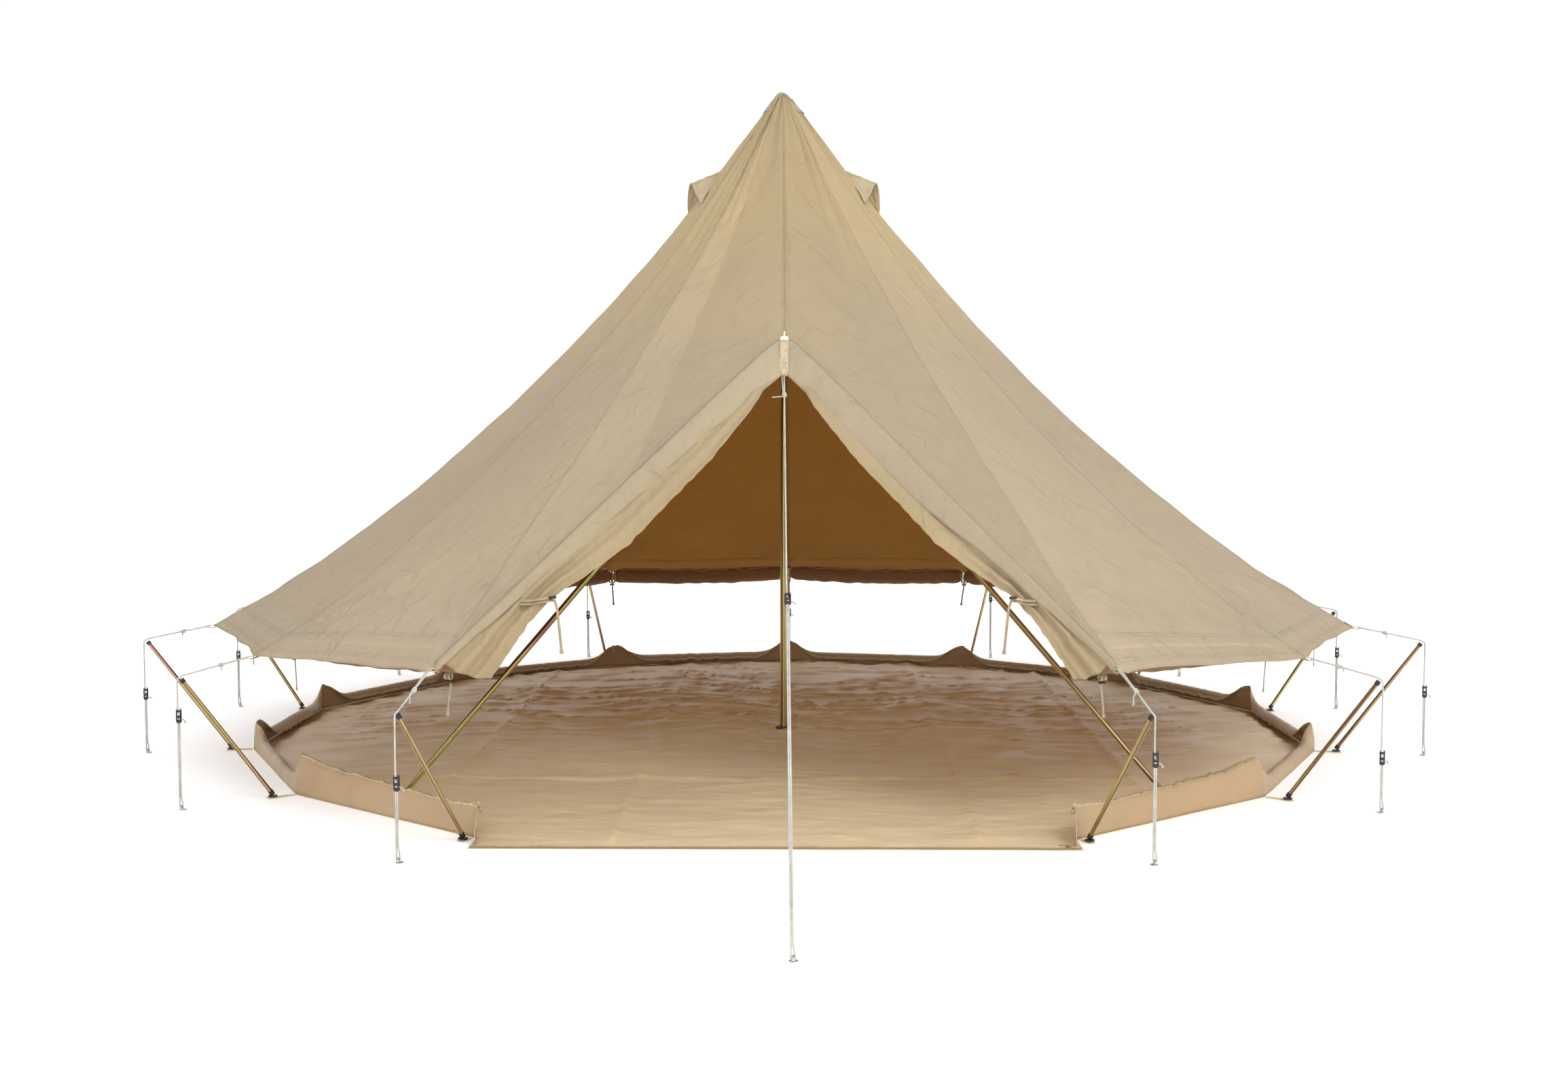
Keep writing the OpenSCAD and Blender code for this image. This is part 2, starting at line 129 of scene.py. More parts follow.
CANVAS_T, FLAP_T, HOOD_T = 0.0024, 0.0022, 0.003
TAPE_T, LOOP_T = 0.0014, 0.0016
FLOOR_T, TUB_T, ZIP_TAPE_T = 0.0008, 0.0012, 0.0010


def around(k, r, z):
    """The place at radius r and height z in the direction of corner k; 0 is the door."""
    return vec(r * math.sin(k * STEP), -r * math.cos(k * STEP), z)


def is_front(k):
    return k in (1, CORNERS)


def eave_corner(k):
    return around(k, *(FRONT_CORNER if is_front(k) else CORNER))


def sides_of(c):
    """The directions straight out from the middle at c, and along the tent's edge."""
    out = level(c)
    return out, np.cross(Z, out)


# ---- Meshes ----


class Shape:
    """Collects grids and tubes, then makes one object of them."""

    def __init__(self):
        self.verts, self.faces, self.loops, self.slots = [], [], [], []

    def add(self, verts, faces, loops, slot=0):
        base = len(self.verts)
        self.verts += [tuple(float(c) for c in v) for v in verts]
        self.faces += [tuple(i + base for i in f) for f in faces]
        self.loops += loops
        self.slots += [slot] * len(faces)
        return self

    def grid(self, points, uv=None, closed=False, slot=0, flip=False):
        """A grid of points, rows by columns; uv has one more column if the grid is closed."""
        rows, cols = points.shape[:2]
        if uv is None:
            uv = measured_uv(points, closed)
        faces, loops = [], []
        for i in range(rows - 1):
            for j in range(cols if closed else cols - 1):
                n = (j + 1) % cols
                face = [i * cols + j, i * cols + n, (i + 1) * cols + n, (i + 1) * cols + j]
                loop = [uv[i, j], uv[i, j + 1], uv[i + 1, j + 1], uv[i + 1, j]]
                faces.append(face[::-1] if flip else face)
                loops.append(loop[::-1] if flip else loop)
        return self.add(points.reshape(-1, 3), faces, loops, slot)

    def tube(self, path, radius, sides=10, slot=0, squash=1.0, up=None):
        """A round tube along a path, with closed ends; radius is a number or one for each point."""
        path = np.asarray(path, float)
        n = len(path)
        radii = np.broadcast_to(np.asarray(radius, float), (n,))
        tangents = np.gradient(path, axis=0)
        tangents /= np.linalg.norm(tangents, axis=1)[:, None]
        start = np.array(up if up is not None else (0.31, 0.52, 0.8))
        side = np.cross(tangents[0], start)
        side /= np.linalg.norm(side)
        angles = np.arange(sides) * math.tau / sides
        rows = []
        for p, t, r in zip(path, tangents, radii):
            side = unit(side - t * (side @ t))
            other = np.cross(t, side)
            ring = np.cos(angles)[:, None] * side * r + np.sin(angles)[:, None] * other * r * squash
            rows.append(p + ring)
        points = np.array(rows)
        run = np.concatenate(([0], np.cumsum(np.linalg.norm(np.diff(path, axis=0), axis=1))))
        uv = np.stack(np.meshgrid(np.linspace(0, 1, sides + 1), run), axis=-1)
        base = len(self.verts)
        self.grid(points, uv, closed=True, slot=slot, flip=True)
        for first, order in ((base, 1), (base + (n - 1) * sides, -1)):
            face = [first + j for j in range(sides)][::order]
            self.faces.append(tuple(face))
            self.loops.append([(0.0, 0.0)] * sides)
            self.slots.append(slot)
        return self

    def box(self, centre, half, axes, bevel=0.2, slot=0):
        """A block with cut edges: axes are its three directions, half its half sizes."""
        c, h, ax = np.array(centre, float), np.array(half, float), np.array(axes, float)
        cut = bevel * h.min()
        b = bmesh.new()
        bmesh.ops.create_cube(b, size=2)
        for v in b.verts:
            v.co = Vector([v.co[i] * h[i] for i in range(3)])
        bmesh.ops.bevel(b, geom=list(b.edges), offset=cut, segments=2, affect="EDGES", profile=0.5)
        b.verts.ensure_lookup_table()
        verts = [c + ax.T @ np.array(v.co) for v in b.verts]
        faces = [[v.index for v in f.verts] for f in b.faces]
        loops = [[(b.verts[i].co[0], b.verts[i].co[2]) for i in f] for f in faces]
        b.free()
        if np.linalg.det(ax) < 0:
            faces = [f[::-1] for f in faces]
            loops = [u[::-1] for u in loops]
        return self.add(verts, faces, loops, slot)

    def make(self, name, materials, body="tent", slot=None, smooth=True, loose=False):
        mesh = bpy.data.meshes.new(name)
        mesh.from_pydata(self.verts, [], self.faces)
        layer = mesh.uv_layers.new(name="UVMap")
        flat = np.array([c for loop in self.loops for uv in loop for c in uv], np.float32)
        layer.data.foreach_set("uv", flat)
        for m in materials:
            mesh.materials.append(m)
        mesh.polygons.foreach_set("material_index", self.slots)
        mesh.polygons.foreach_set("use_smooth", [smooth] * len(mesh.polygons))
        mesh.update()
        obj = bpy.data.objects.new(name, mesh)
        bpy.context.scene.collection.objects.link(obj)
        if not loose:
            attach(obj, body)
        return obj


def measured_uv(points, closed=False):
    """UVs in metres: across the columns, then down the rows."""
    if closed:
        points = np.concatenate((points, points[:, :1]), axis=1)
    across = np.linalg.norm(np.diff(points, axis=1), axis=2)
    down = np.linalg.norm(np.diff(points, axis=0), axis=2)
    u = np.concatenate((np.zeros((len(points), 1)), np.cumsum(across, axis=1)), axis=1)
    v = np.concatenate((np.zeros((1, points.shape[1])), np.cumsum(down, axis=0)), axis=0)
    return np.stack((u, v), axis=-1)


def grid_normals(points):
    du = np.gradient(points, axis=1)
    dv = np.gradient(points, axis=0)
    n = np.cross(du, dv)
    length = np.linalg.norm(n, axis=2)[..., None]
    return n / np.maximum(length, 1e-9)


def thicken(obj, thickness, offset=0.0, inner=0):
    """Gives cloth its thickness: to both sides, or inwards only with offset -1."""
    mod = obj.modifiers.new("thickness", "SOLIDIFY")
    mod.thickness, mod.offset, mod.material_offset = thickness, offset, inner
    mod.use_even_offset = False


def rounded(points, cut, spacing):
    """A route with each bend rounded off, as evenly spaced points."""
    pts = [np.array(p, float) for p in points]
    out = [pts[0]]
    for a, b, c in zip(pts, pts[1:], pts[2:]):
        reach = min(cut, 0.49 * np.linalg.norm(b - a), 0.49 * np.linalg.norm(c - b))
        p, q = b + unit(a - b) * reach, b + unit(c - b) * reach
        out += [(1 - t) ** 2 * p + 2 * t * (1 - t) * b + t * t * q for t in np.linspace(0, 1, 7)]
    out.append(pts[-1])
    return even(np.array(out), spacing)


def even(path, spacing):
    run = np.concatenate(([0], np.cumsum(np.linalg.norm(np.diff(path, axis=0), axis=1))))
    count = max(3, int(round(run[-1] / spacing)) + 1)
    at = np.linspace(0, run[-1], count)
    return np.stack([np.interp(at, run, path[:, i]) for i in range(3)], axis=1)


# ---- Materials ----


def srgb(r, g, b):
    def linear(c):
        c /= 255
        return c / 12.92 if c <= 0.04045 else ((c + 0.055) / 1.055) ** 2.4

    return (linear(r), linear(g), linear(b), 1.0)


def shade(colour, k):
    return tuple(min(1.0, c * k) for c in colour[:3]) + (1.0,)


class Paint:
    """A principled material and the nodes that feed it."""

    def __init__(self, name, roughness=0.6, metallic=0.0, sheen=0.0, specular=0.5):
        self.material = bpy.data.materials.new(name)
        self.material.use_nodes = True
        self.tree = self.material.node_tree
        self.shader = self.tree.nodes["Principled BSDF"]
        self.shader.inputs["Roughness"].default_value = roughness
        self.shader.inputs["Metallic"].default_value = metallic
        self.shader.inputs["Sheen Weight"].default_value = sheen
        self.shader.inputs["Specular IOR Level"].default_value = specular
        self.coords = self.tree.nodes.new("ShaderNodeTexCoord")

    def node(self, kind, inputs=None, **settings):
        n = self.tree.nodes.new(kind)
        for key, value in settings.items():
            setattr(n, key, value)
        for key, value in (inputs or {}).items():
            if isinstance(value, bpy.types.NodeSocket):
                self.tree.links.new(value, n.inputs[key])
            elif value is not None:
                n.inputs[key].default_value = value
        return n

    def math(self, op, a, b=0.0, clamp=False):
        return self.node("ShaderNodeMath", {0: a, 1: b}, operation=op, use_clamp=clamp).outputs[0]

    def times(self, a, b, clamp=False):
        return self.math("MULTIPLY", a, b, clamp)

    def scaled(self, scale, kind="Object"):
        n = self.node("ShaderNodeMapping", {"Vector": self.coords.outputs[kind]})
        n.inputs["Scale"].default_value = scale
        return n.outputs[0]

    def noise(self, scale, detail=3.0, stretch=(1, 1, 1), kind="Object"):
        source = self.scaled(stretch, kind)
        n = self.node("ShaderNodeTexNoise", {"Vector": source, "Scale": scale, "Detail": detail})
        return n.outputs["Fac"]

    def axis(self, name, kind="Object"):
        n = self.node("ShaderNodeSeparateXYZ", {0: self.coords.outputs[kind]})
        return n.outputs[name]

    def ramp(self, factor, stops):
        n = self.node("ShaderNodeValToRGB", {"Fac": factor})
        while len(n.color_ramp.elements) < len(stops):
            n.color_ramp.elements.new(0.5)
        for e, (at, colour) in zip(n.color_ramp.elements, stops):
            e.position = at
            e.color = colour if len(colour) == 4 else (*colour, 1.0)
        return n.outputs["Color"]

    def between(self, value, a, b, to=(0.0, 1.0)):
        inputs = {"Value": value, "From Min": a, "From Max": b, "To Min": to[0], "To Max": to[1]}
        return self.node("ShaderNodeMapRange", inputs).outputs[0]

    def blend(self, factor, a, b, mode="MIX"):
        n = self.node("ShaderNodeMix", {"Factor": factor}, data_type="RGBA", blend_type=mode)
        for socket, value in (("A", a), ("B", b)):
            target = [s for s in n.inputs if s.name == socket and s.type == "RGBA"][0]
            if isinstance(value, bpy.types.NodeSocket):
                self.tree.links.new(value, target)
            else:
                target.default_value = value
        return [s for s in n.outputs if s.type == "RGBA"][0]

    def fleck(self, base, value, low, high, amount, colour):
        """Lays colour over base as value rises from low to high, at most by amount."""
        return self.blend(self.between(value, low, high, (0.0, amount)), base, colour)

    def band(self, value, centre, half):
        """1 at centre, falling to 0 at half to either side."""
        away = self.math("ABSOLUTE", self.math("SUBTRACT", value, centre))
        return self.between(away, half, 0.0)

    def see_through(self, colour, share):
        """Lets part of the light through, as thin cloth does."""
        thin = self.node("ShaderNodeBsdfTranslucent")
        if isinstance(colour, bpy.types.NodeSocket):
            self.tree.links.new(colour, thin.inputs["Color"])
        else:
            thin.inputs["Color"].default_value = colour
        inputs = {0: share, 1: self.shader.outputs[0], 2: thin.outputs[0]}
        both = self.node("ShaderNodeMixShader", inputs)
        output = [n for n in self.tree.nodes if n.type == "OUTPUT_MATERIAL"][0]
        self.tree.links.new(both.outputs[0], output.inputs["Surface"])

    def finish(self, colour, bumps=(), roughness=None):
        """bumps are (height, distance in metres) pairs."""
        if isinstance(colour, bpy.types.NodeSocket):
            self.tree.links.new(colour, self.shader.inputs["Base Color"])
        else:
            self.shader.inputs["Base Color"].default_value = colour
        normal = None
        for height, distance in bumps:
            inputs = {"Height": height, "Distance": distance, "Strength": 1.0}
            n = self.node("ShaderNodeBump", inputs)
            if normal is not None:
                self.tree.links.new(normal, n.inputs["Normal"])
            normal = n.outputs[0]
        if normal is not None:
            self.tree.links.new(normal, self.shader.inputs["Normal"])
        if roughness is not None:
            self.tree.links.new(roughness, self.shader.inputs["Roughness"])
        return self.material


def weave(p, pitch=0.0016):
    """The threads of a plain weave, from UVs in metres."""
    u, v = p.axis("X", "UV"), p.axis("Y", "UV")
    warp = p.math("SINE", p.times(u, math.tau / pitch))
    weft = p.math("SINE", p.times(v, math.tau / pitch))
    return p.times(warp, weft)


def canvas(name, colour, dark, painted_glow=None, seams=False, glow=None):
    """Cotton canvas with a painted glow: paler and warmer high up, darker low down. With seams, UV
    x is the distance from one.
    """
    painted_glow = painted_glow or colour
    p = Paint(name, roughness=0.88, sheen=0.15, specular=0.2)
    large, height, from_seam = p.noise(0.9, 3.0), p.axis("Z"), p.axis("X", "UV")
    base = p.ramp(large, [(0.34, shade(colour, 0.95)), (0.66, shade(colour, 1.04))])
    # Painted light: paler and warmer high up, a glow as if the sun shone through the cloth.
    high = p.between(p.math("ADD", height, p.times(large, 0.7)), 2.0, 2.75)
    base = p.blend(p.times(high, 0.75, clamp=True), base, painted_glow)
    # Painted shade: darker low down, below the glow.
    low = p.between(p.math("ADD", height, p.times(large, 0.8)), 1.75, 1.0)
    base = p.blend(p.times(low, 0.6, clamp=True), base, dark)
    slubs = p.noise(260.0, 2.0, (1, 1, 0.35))
    base = p.fleck(base, slubs, 0.35, 0.7, 0.10, shade(dark, 0.8))
    wear = p.noise(5.0, 6.0)
    base = p.fleck(base, wear, 0.55, 0.75, 0.08, shade(colour, 1.15))
    inputs = {"Vector": p.scaled((1, 1, 0.7)), "Scale": 7.0, "Detail": 6.0, "Distortion": 1.6}
    crush = p.node("ShaderNodeTexNoise", inputs).outputs["Fac"]
    bumps = [(crush, 0.026), (p.noise(26.0, 5.0), 0.006),
             (p.noise(3.0, 3.0, (1, 1, 0.45)), 0.060), (weave(p), 0.0003)]
    if seams:
        line = p.between(from_seam, 0.006, 0.001)
        base = p.blend(p.times(line, 0.34, clamp=True), base, srgb(128, 104, 70))
        stitch = p.times(p.band(from_seam, 0.013, 0.0016), 0.18)
        base = p.blend(stitch, base, shade(dark, 0.55))
        bumps.append((p.between(from_seam, 0.015, 0.013), 0.0012))
    if glow:
        light, share = glow
        lit = p.fleck(light, wear, 0.3, 0.7, 0.12, shade(light, 0.6))
        if seams:
            doubled = p.times(p.between(from_seam, 0.016, 0.004), 0.36, clamp=True)
            lit = p.blend(doubled, lit, shade(light, 0.35))
        p.see_through(lit, share)
    return p.finish(base, bumps, p.between(wear, 0.3, 0.7, (0.82, 0.95)))


def webbing_material(name, colour, pitch=0.0035):
    p = Paint(name, roughness=0.8, sheen=0.2, specular=0.25)
    u, v = p.axis("X", "UV"), p.axis("Y", "UV")
    ribs = p.math("SINE", p.times(p.math("ADD", u, v), math.tau / pitch))
    tone = p.noise(60.0, 4.0)
    base = p.ramp(tone, [(0.3, shade(colour, 0.82)), (0.7, shade(colour, 1.1))])
    # Painted shade: the troughs between the ribs are darker.
    base = p.blend(p.between(ribs, -1.0, -0.4, (0.25, 0.0)), base, shade(colour, 0.55))
    return p.finish(base, [(ribs, 0.0004), (tone, 0.001)])


def pvc_material(name, colour, dark, worn=None):
    """Coated groundsheet: satin, with dust, stains, scuffs and a middle made paler with painted
    light.
    """
    p = Paint(name, roughness=0.42, specular=0.5)
    base = p.ramp(p.noise(0.8, 4.0), [(0.3, shade(colour, 0.93)), (0.7, shade(colour, 1.05))])
    base = p.fleck(base, p.noise(7.0, 7.0), 0.56, 0.78, 0.25, shade(colour, 1.25))
    base = p.fleck(base, p.noise(2.3, 5.0, (1, 2.4, 1)), 0.52, 0.7, 0.3, dark)
    base = p.fleck(base, p.noise(1.6, 8.0, (1.0, 9.0, 1.0)), 0.63, 0.70, 0.12, shade(colour, 1.4))
    if worn:
        # Painted light: a paler, less red middle, to offset the shade under the tent.
        painted_light_mask = p.times(p.band(p.axis("Y"), -0.1, 2.2), p.band(p.axis("X"), 0.0, 2.4))
        base = p.blend(painted_light_mask, base, worn)
    rough = p.between(p.noise(4.0, 5.0), 0.3, 0.7, (0.34, 0.55))
    creases = p.noise(6.0, 5.0, (0.6, 1.8, 1))
    return p.finish(base, [(creases, 0.009), (p.noise(420.0, 2.0), 0.0002)], rough)


def rope_material():
    """Braided cord: two sets of strands that cross, from UVs round and along it."""
    p = Paint("braided_rope", roughness=0.75, sheen=0.2, specular=0.3)
    around_it = p.times(p.axis("X", "UV"), 6 * math.tau)
    along_it = p.times(p.axis("Y", "UV"), math.tau / 0.006)
    one = p.math("SINE", p.math("ADD", around_it, along_it))
    two = p.math("SINE", p.math("SUBTRACT", around_it, along_it))
    braid = p.math("MAXIMUM", one, two)
    tone = p.ramp(p.noise(25.0, 4.0), [(0.3, srgb(180, 177, 169)), (0.7, srgb(210, 208, 200))])
    # Painted shade: the grooves between the strands are darker.
    base = p.blend(p.between(braid, 0.3, -0.6, (0.0, 0.45)), tone, srgb(140, 135, 124))
    return p.finish(base, [(braid, 0.0006)])


def plastic_material(name, colour, roughness=0.42):
    p = Paint(name, roughness=roughness, specular=0.5)
    tone = p.noise(40.0, 5.0)
    base = p.ramp(tone, [(0.3, shade(colour, 0.8)), (0.7, shade(colour, 1.35))])
    scratches = p.noise(90.0, 6.0, (1, 1, 6))
    base = p.fleck(base, scratches, 0.6, 0.75, 0.10, shade(colour, 2.0))
    rough = p.between(scratches, 0.3, 0.7, (roughness - 0.08, roughness + 0.14))
    return p.finish(base, [(p.noise(700.0, 2.0), 0.00012)], rough)


def zinc_material():
    """Yellow-passivated zinc: gold with pink and green films that run along the tube, partly
    painted reflections.
    """
    p = Paint("yellow_zinc", roughness=0.3, metallic=0.9)
    # Painted light in part: the colour follows which way the surface faces, so its bands stand for
    # both the films and reflections and highlights.
    inputs = {0: p.coords.outputs["Normal"], 1: (0.75, -0.35, 0.45)}
    facing = p.node("ShaderNodeVectorMath", inputs, operation="DOT_PRODUCT")
    film_and_reflection = p.math("ADD", p.times(facing.outputs["Value"], 0.85), 1.0)
    drift = p.times(p.math("SUBTRACT", p.noise(1.6, 2.0, (1, 1, 0.5)), 0.5), 1.6)
    film_and_reflection = p.math("PINGPONG", p.math("ADD", film_and_reflection, drift), 1.0)
    gold = srgb(172, 150, 94)
    stops = [(0.06, srgb(96, 56, 50)), (0.20, srgb(178, 122, 110)), (0.36, srgb(196, 160, 128)),
             (0.5, srgb(198, 190, 120)), (0.64, srgb(134, 140, 70)), (0.76, gold),
             (0.88, srgb(140, 86, 78)), (0.97, srgb(80, 74, 52))]
    base = p.ramp(film_and_reflection, stops)
    stain = p.noise(30.0, 6.0, (1, 1, 0.15))
    base = p.fleck(base, stain, 0.55, 0.75, 0.3, srgb(118, 84, 58))
    rough = p.between(p.noise(55.0, 5.0, (1, 1, 0.1)), 0.3, 0.7, (0.22, 0.42))
    return p.finish(base, [(p.noise(160.0, 3.0, (1, 1, 0.05)), 0.0001)], rough)


def steel_material(name, colour, roughness=0.38):
    """Galvanised steel: spangles, with dull spots and a fine bump."""
    p = Paint(name, roughness=roughness, metallic=0.95)
    cells = p.node("ShaderNodeTexVoronoi", {"Vector": p.coords.outputs["Object"], "Scale": 160.0})
    base = p.blend(0.25, colour, cells.outputs["Color"], "OVERLAY")
    spots = p.noise(45.0, 6.0)
    base = p.fleck(base, spots, 0.55, 0.7, 0.5, shade(colour, 0.45))
    rough = p.between(spots, 0.3, 0.7, (roughness - 0.08, roughness + 0.22))
    return p.finish(base, [(p.noise(350.0, 3.0), 0.00015)], rough)


# The third colour of a canvas is painted light: its glow high up.
OUTER = canvas("roof_canvas_outside", srgb(208, 194, 163), srgb(204, 190, 164),
               srgb(228, 204, 150), seams=True, glow=(srgb(240, 210, 152), 0.34))
# Painted shade and painted light through the cloth: the inside face is darker and browner than the
# outside.
INNER_SHADED = canvas("roof_canvas_inside_shaded", srgb(160, 118, 62), srgb(124, 88, 46),
               srgb(164, 120, 62), seams=True, glow=(srgb(214, 168, 94), 0.55))
TRIM = canvas("trim_canvas", srgb(190, 175, 146), srgb(183, 166, 136),
              glow=(srgb(226, 196, 136), 0.15))
HOOD = canvas("vent_hood_canvas", srgb(220, 208, 180), srgb(204, 190, 164),
              srgb(226, 210, 174), glow=(srgb(242, 220, 176), 0.34))
# Painted shade: the door flap's canvas is darker because the flap hangs in shade.
SHADED_FLAP_CLOTH = canvas("door_flap_canvas_shaded", srgb(200, 182, 146), srgb(192, 172, 134),
                    glow=(srgb(220, 180, 110), 0.3))
ROLLED = canvas("rolled_canvas", srgb(160, 122, 80), srgb(134, 98, 62))
MUD_FLAP = pvc_material("mud_flap", srgb(172, 140, 124), srgb(140, 108, 92))
# The floor's paler middle is painted light.
FLOOR = pvc_material("groundsheet", srgb(226, 204, 168), srgb(200, 174, 140),
                     worn=srgb(246, 242, 206))
WALL = pvc_material("groundsheet_wall_face", srgb(168, 141, 106), srgb(144, 117, 86))
WEBBING = webbing_material("webbing", srgb(206, 184, 144))
PEAK_WEBBING = webbing_material("peak_webbing", srgb(194, 178, 148))
ZIP_TAPE = webbing_material("zip_tape", srgb(214, 190, 144), 0.002)
ROPE = rope_material()
BLACK = plastic_material("black_plastic", srgb(24, 24, 26))
WHITE = plastic_material("white_plastic", srgb(226, 226, 222), 0.35)
ZINC = zinc_material()
STEEL = steel_material("galvanised", srgb(196, 198, 200))
ZIP_METAL = steel_material("zip_metal", srgb(160, 130, 82), 0.3)

# ---- Camera, fitted to the photo ----

LENS_MM, SENSOR_MM = 40.74, 36.0
CAMERA_AT = (0.102, -8.417, 1.465)
TILT_DOWN, PAN = 0.0672, 0.0118


def make_camera():
    data = bpy.data.cameras.new("camera")
    data.lens, data.sensor_width = LENS_MM, SENSOR_MM
    camera = bpy.data.objects.new("camera", data)
    camera.location = CAMERA_AT
    camera.rotation_euler = (math.pi / 2 - TILT_DOWN, 0.0, PAN)
    bpy.context.scene.collection.objects.link(camera)
    bpy.context.scene.camera = camera


make_camera()

# ---- Ropes ----


def rope_foot(k):
    return FRONT_PEG if k == 0 else around(k, ROPE_R, 0.0)


def rope_top(k):
    if k == 0:
        return FRONT_ROPE_START
    c = eave_corner(k)
    return around(k, math.hypot(c[0], c[1]) + 0.028, c[2] - 0.006)


def slider_middle(k):
    if k:
        return rope_foot(k) + Z * SLIDER_Z[k - 1]
    return mix(rope_foot(0) + Z * ROPE_TURN_H, FRONT_ROPE_START, 1 - FRONT_SLIDER_SHARE)


def slider_frame(k):
    """A slider's middle, the directions up its rope and across it, and its body."""
    up = Z if k else unit(FRONT_ROPE_START - rope_foot(0) - Z * ROPE_TURN_H)
    return slider_middle(k), up, unit(vec(1, 0, 0) - up * up[0]), f"rope_slider_{k or 'front'}"


def rope_bends(k):
    over = [] if k == 0 else [around(k, 2.874, 0.512), around(k, ROPE_R, 0.5)]
    foot = rope_foot(k) + Z * ROPE_TURN_H
    return [rope_top(k), *over, foot, foot + vec(TURN_W, 0, 0)]


def rope_knot(k, along, name):
    """The strand that comes back from the loop, the turns of the knot and its loose tail."""
    top = rope_top(k)
    e = unit(along[3] - along[0])
    side = unit(np.cross(e, Z))
    rise = np.cross(side, e)
    knot = top + e * (0.098 if k else 0.11)
    shape = Shape()
    eye = [top + side * 0.0005, top - e * 0.012 + rise * 0.003, top - e * 0.014 + side * 0.006,
           top - e * 0.006 + side * 0.009, knot + side * 0.004]
    shape.tube(rounded(eye, 0.006, 0.004), ROPE_D / 2 * 0.96, 8)
    turns = np.linspace(0, 2.6 * math.tau, 44)
    coil = [knot + e * (0.015 * t / turns[-1] - 0.005)
            + 0.0054 * (math.cos(t) * side + math.sin(t) * rise) for t in turns]
    shape.tube(coil, STRAND * 1.1, 8)
    end, hang = coil[-1], side * (1 if k % 2 else -1)
    if k:
        drop = 0.040 if is_front(k) else 0.016
        tail = [end, end + hang * 0.012 + rise * 0.004, end + hang * 0.018 - Z * 0.008,
                end + hang * 0.020 - Z * drop]
    else:
        tail = [end, end + vec(-0.014, 0, 0.001), end + vec(-0.05, 0, -0.002)]
    shape.tube(rounded(tail, 0.01, 0.004), ROPE_D / 2 * 0.95, 8)
    return shape.make(name, [ROPE], slot="guy_rope")


def return_strand(k, name):
    """The strand that comes back up from the peg, doubled through the slider."""
    middle, up, _, body = slider_frame(k)
    foot = rope_foot(k) + vec(TURN_W, 0, ROPE_TURN_H)
    shift = vec(STRAND_GAP, 0, 0)
    beside = middle + shift * 0.8
    path = rounded([foot - vec(0.004, 0, 0), foot, foot + up * 0.05 - vec(0.0072, 0, 0),
                    beside - up * 0.02, beside + up * 0.004], 0.005, 0.012)
    obj = Shape().tube(path, STRAND, 8).make(name, [ROPE], slot="guy_rope", loose=True)
    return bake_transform(obj)


def slider_shape(k, name):
    """A rope slider: two side rails and three bridges that hold both strands, and horns on top."""
    middle, up, x, body = slider_frame(k)
    axes = np.array((x, np.cross(up, x), up))
    c = middle + x * 0.0035
    shape = Shape()
    for s in (-1, 1):
        rail = [c + x * s * 0.0072 + up * z for z in np.linspace(-0.021, 0.021, 9)]
        shape.tube(rail, 0.0030, 8, squash=1.5)
        horn = rounded([c + x * s * w + up * z for w, z in
                        ((0.0072, 0.02), (0.0078, 0.024), (0.0066, 0.028), (0.0040, 0.0295))],
                       0.004, 0.002)
        shape.tube(horn, np.linspace(0.0024, 0.0016, len(horn)), 8)
    for z, h in ((0.0185, 0.0042), (-0.003, 0.0046), (-0.0195, 0.0056)):
        shape.box(c + up * z, (0.0098, 0.0062, h), axes, 0.55)
    shape.box(c + up * -0.0245, (0.0060, 0.0034, 0.0030), axes, 0.6)
    return shape.make(name, [BLACK], body=body, slot="black_plastic")


def slider_tail(k, name):
    """The rope's end below the slider: a short curl with a knot on it."""
    middle, up, x, body = slider_frame(k)
    c = middle + x * STRAND_GAP - up * 0.012
    drop = 0.015 if k in (0, 1, 3, 12, 13) else 0.009
    line = rounded([c, c + x * 0.010, c + x * 0.017 - up * 0.004, c + x * 0.021 - up * drop],
                   0.006, 0.003)
    radii = np.full(len(line), ROPE_D / 2 * 0.92)
    radii[-3:] = ROPE_D / 2 * 1.35
    return Shape().tube(line, radii, 8).make(name, [ROPE], body=body, slot="guy_rope")


def make_ropes():
    for k in range(SIDES):
        tag = str(k or "front")
        path = rounded(rope_bends(k), 0.0064, 0.007)
        rope = Shape().tube(path, STRAND, 10).make(f"rope_{tag}", [ROPE], slot="guy_rope")
        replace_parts(rope, f"guy_rope_{tag}")
        knot = rope_knot(k, path, f"rope_knot_{tag}")
        back = return_strand(k, f"rope_return_{tag}")
        tail = slider_tail(k, f"rope_tail_{tag}")
        slider = slider_shape(k, f"rope_slider_plastic_{tag}")
        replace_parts(slider, f"guy_slider_{tag}")


make_ropes()


def make_pegs():
    """Round pegs bent over the rope, with a flattened end, on a small disc."""
    shape = Shape()
    for k in range(SIDES):
        at = rope_foot(k) + vec(TURN_W / 2, 0, 0)
        line = rounded([at + vec(0, y, z) for y, z in
                        ((0.014, 0.0), (0.014, 0.0150), (0.009, 0.0168), (-0.006, 0.0165),
                         (-0.0105, 0.0145), (-0.0125, 0.0090))], 0.006, 0.002)
        n = len(line)
        radii = np.interp(np.arange(n), (0, n - 6, n - 1), (0.0034, 0.0034, 0.0062))
        shape.tube(line, radii, 12, up=(0, 0.1, 1))
        disc = [at + vec(0, 0.014, z) for z in (0.0004, 0.0008, 0.0016, 0.0022)]
        shape.tube(disc, [0.0125, 0.0135, 0.0132, 0.0120], 20)
    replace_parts(shape.make("pegs_bent", [STEEL], slot="galvanised_steel"), "pegs")


make_pegs()

# ---- Canopy ----

PANEL_COLS = 22
HEM = 0.985
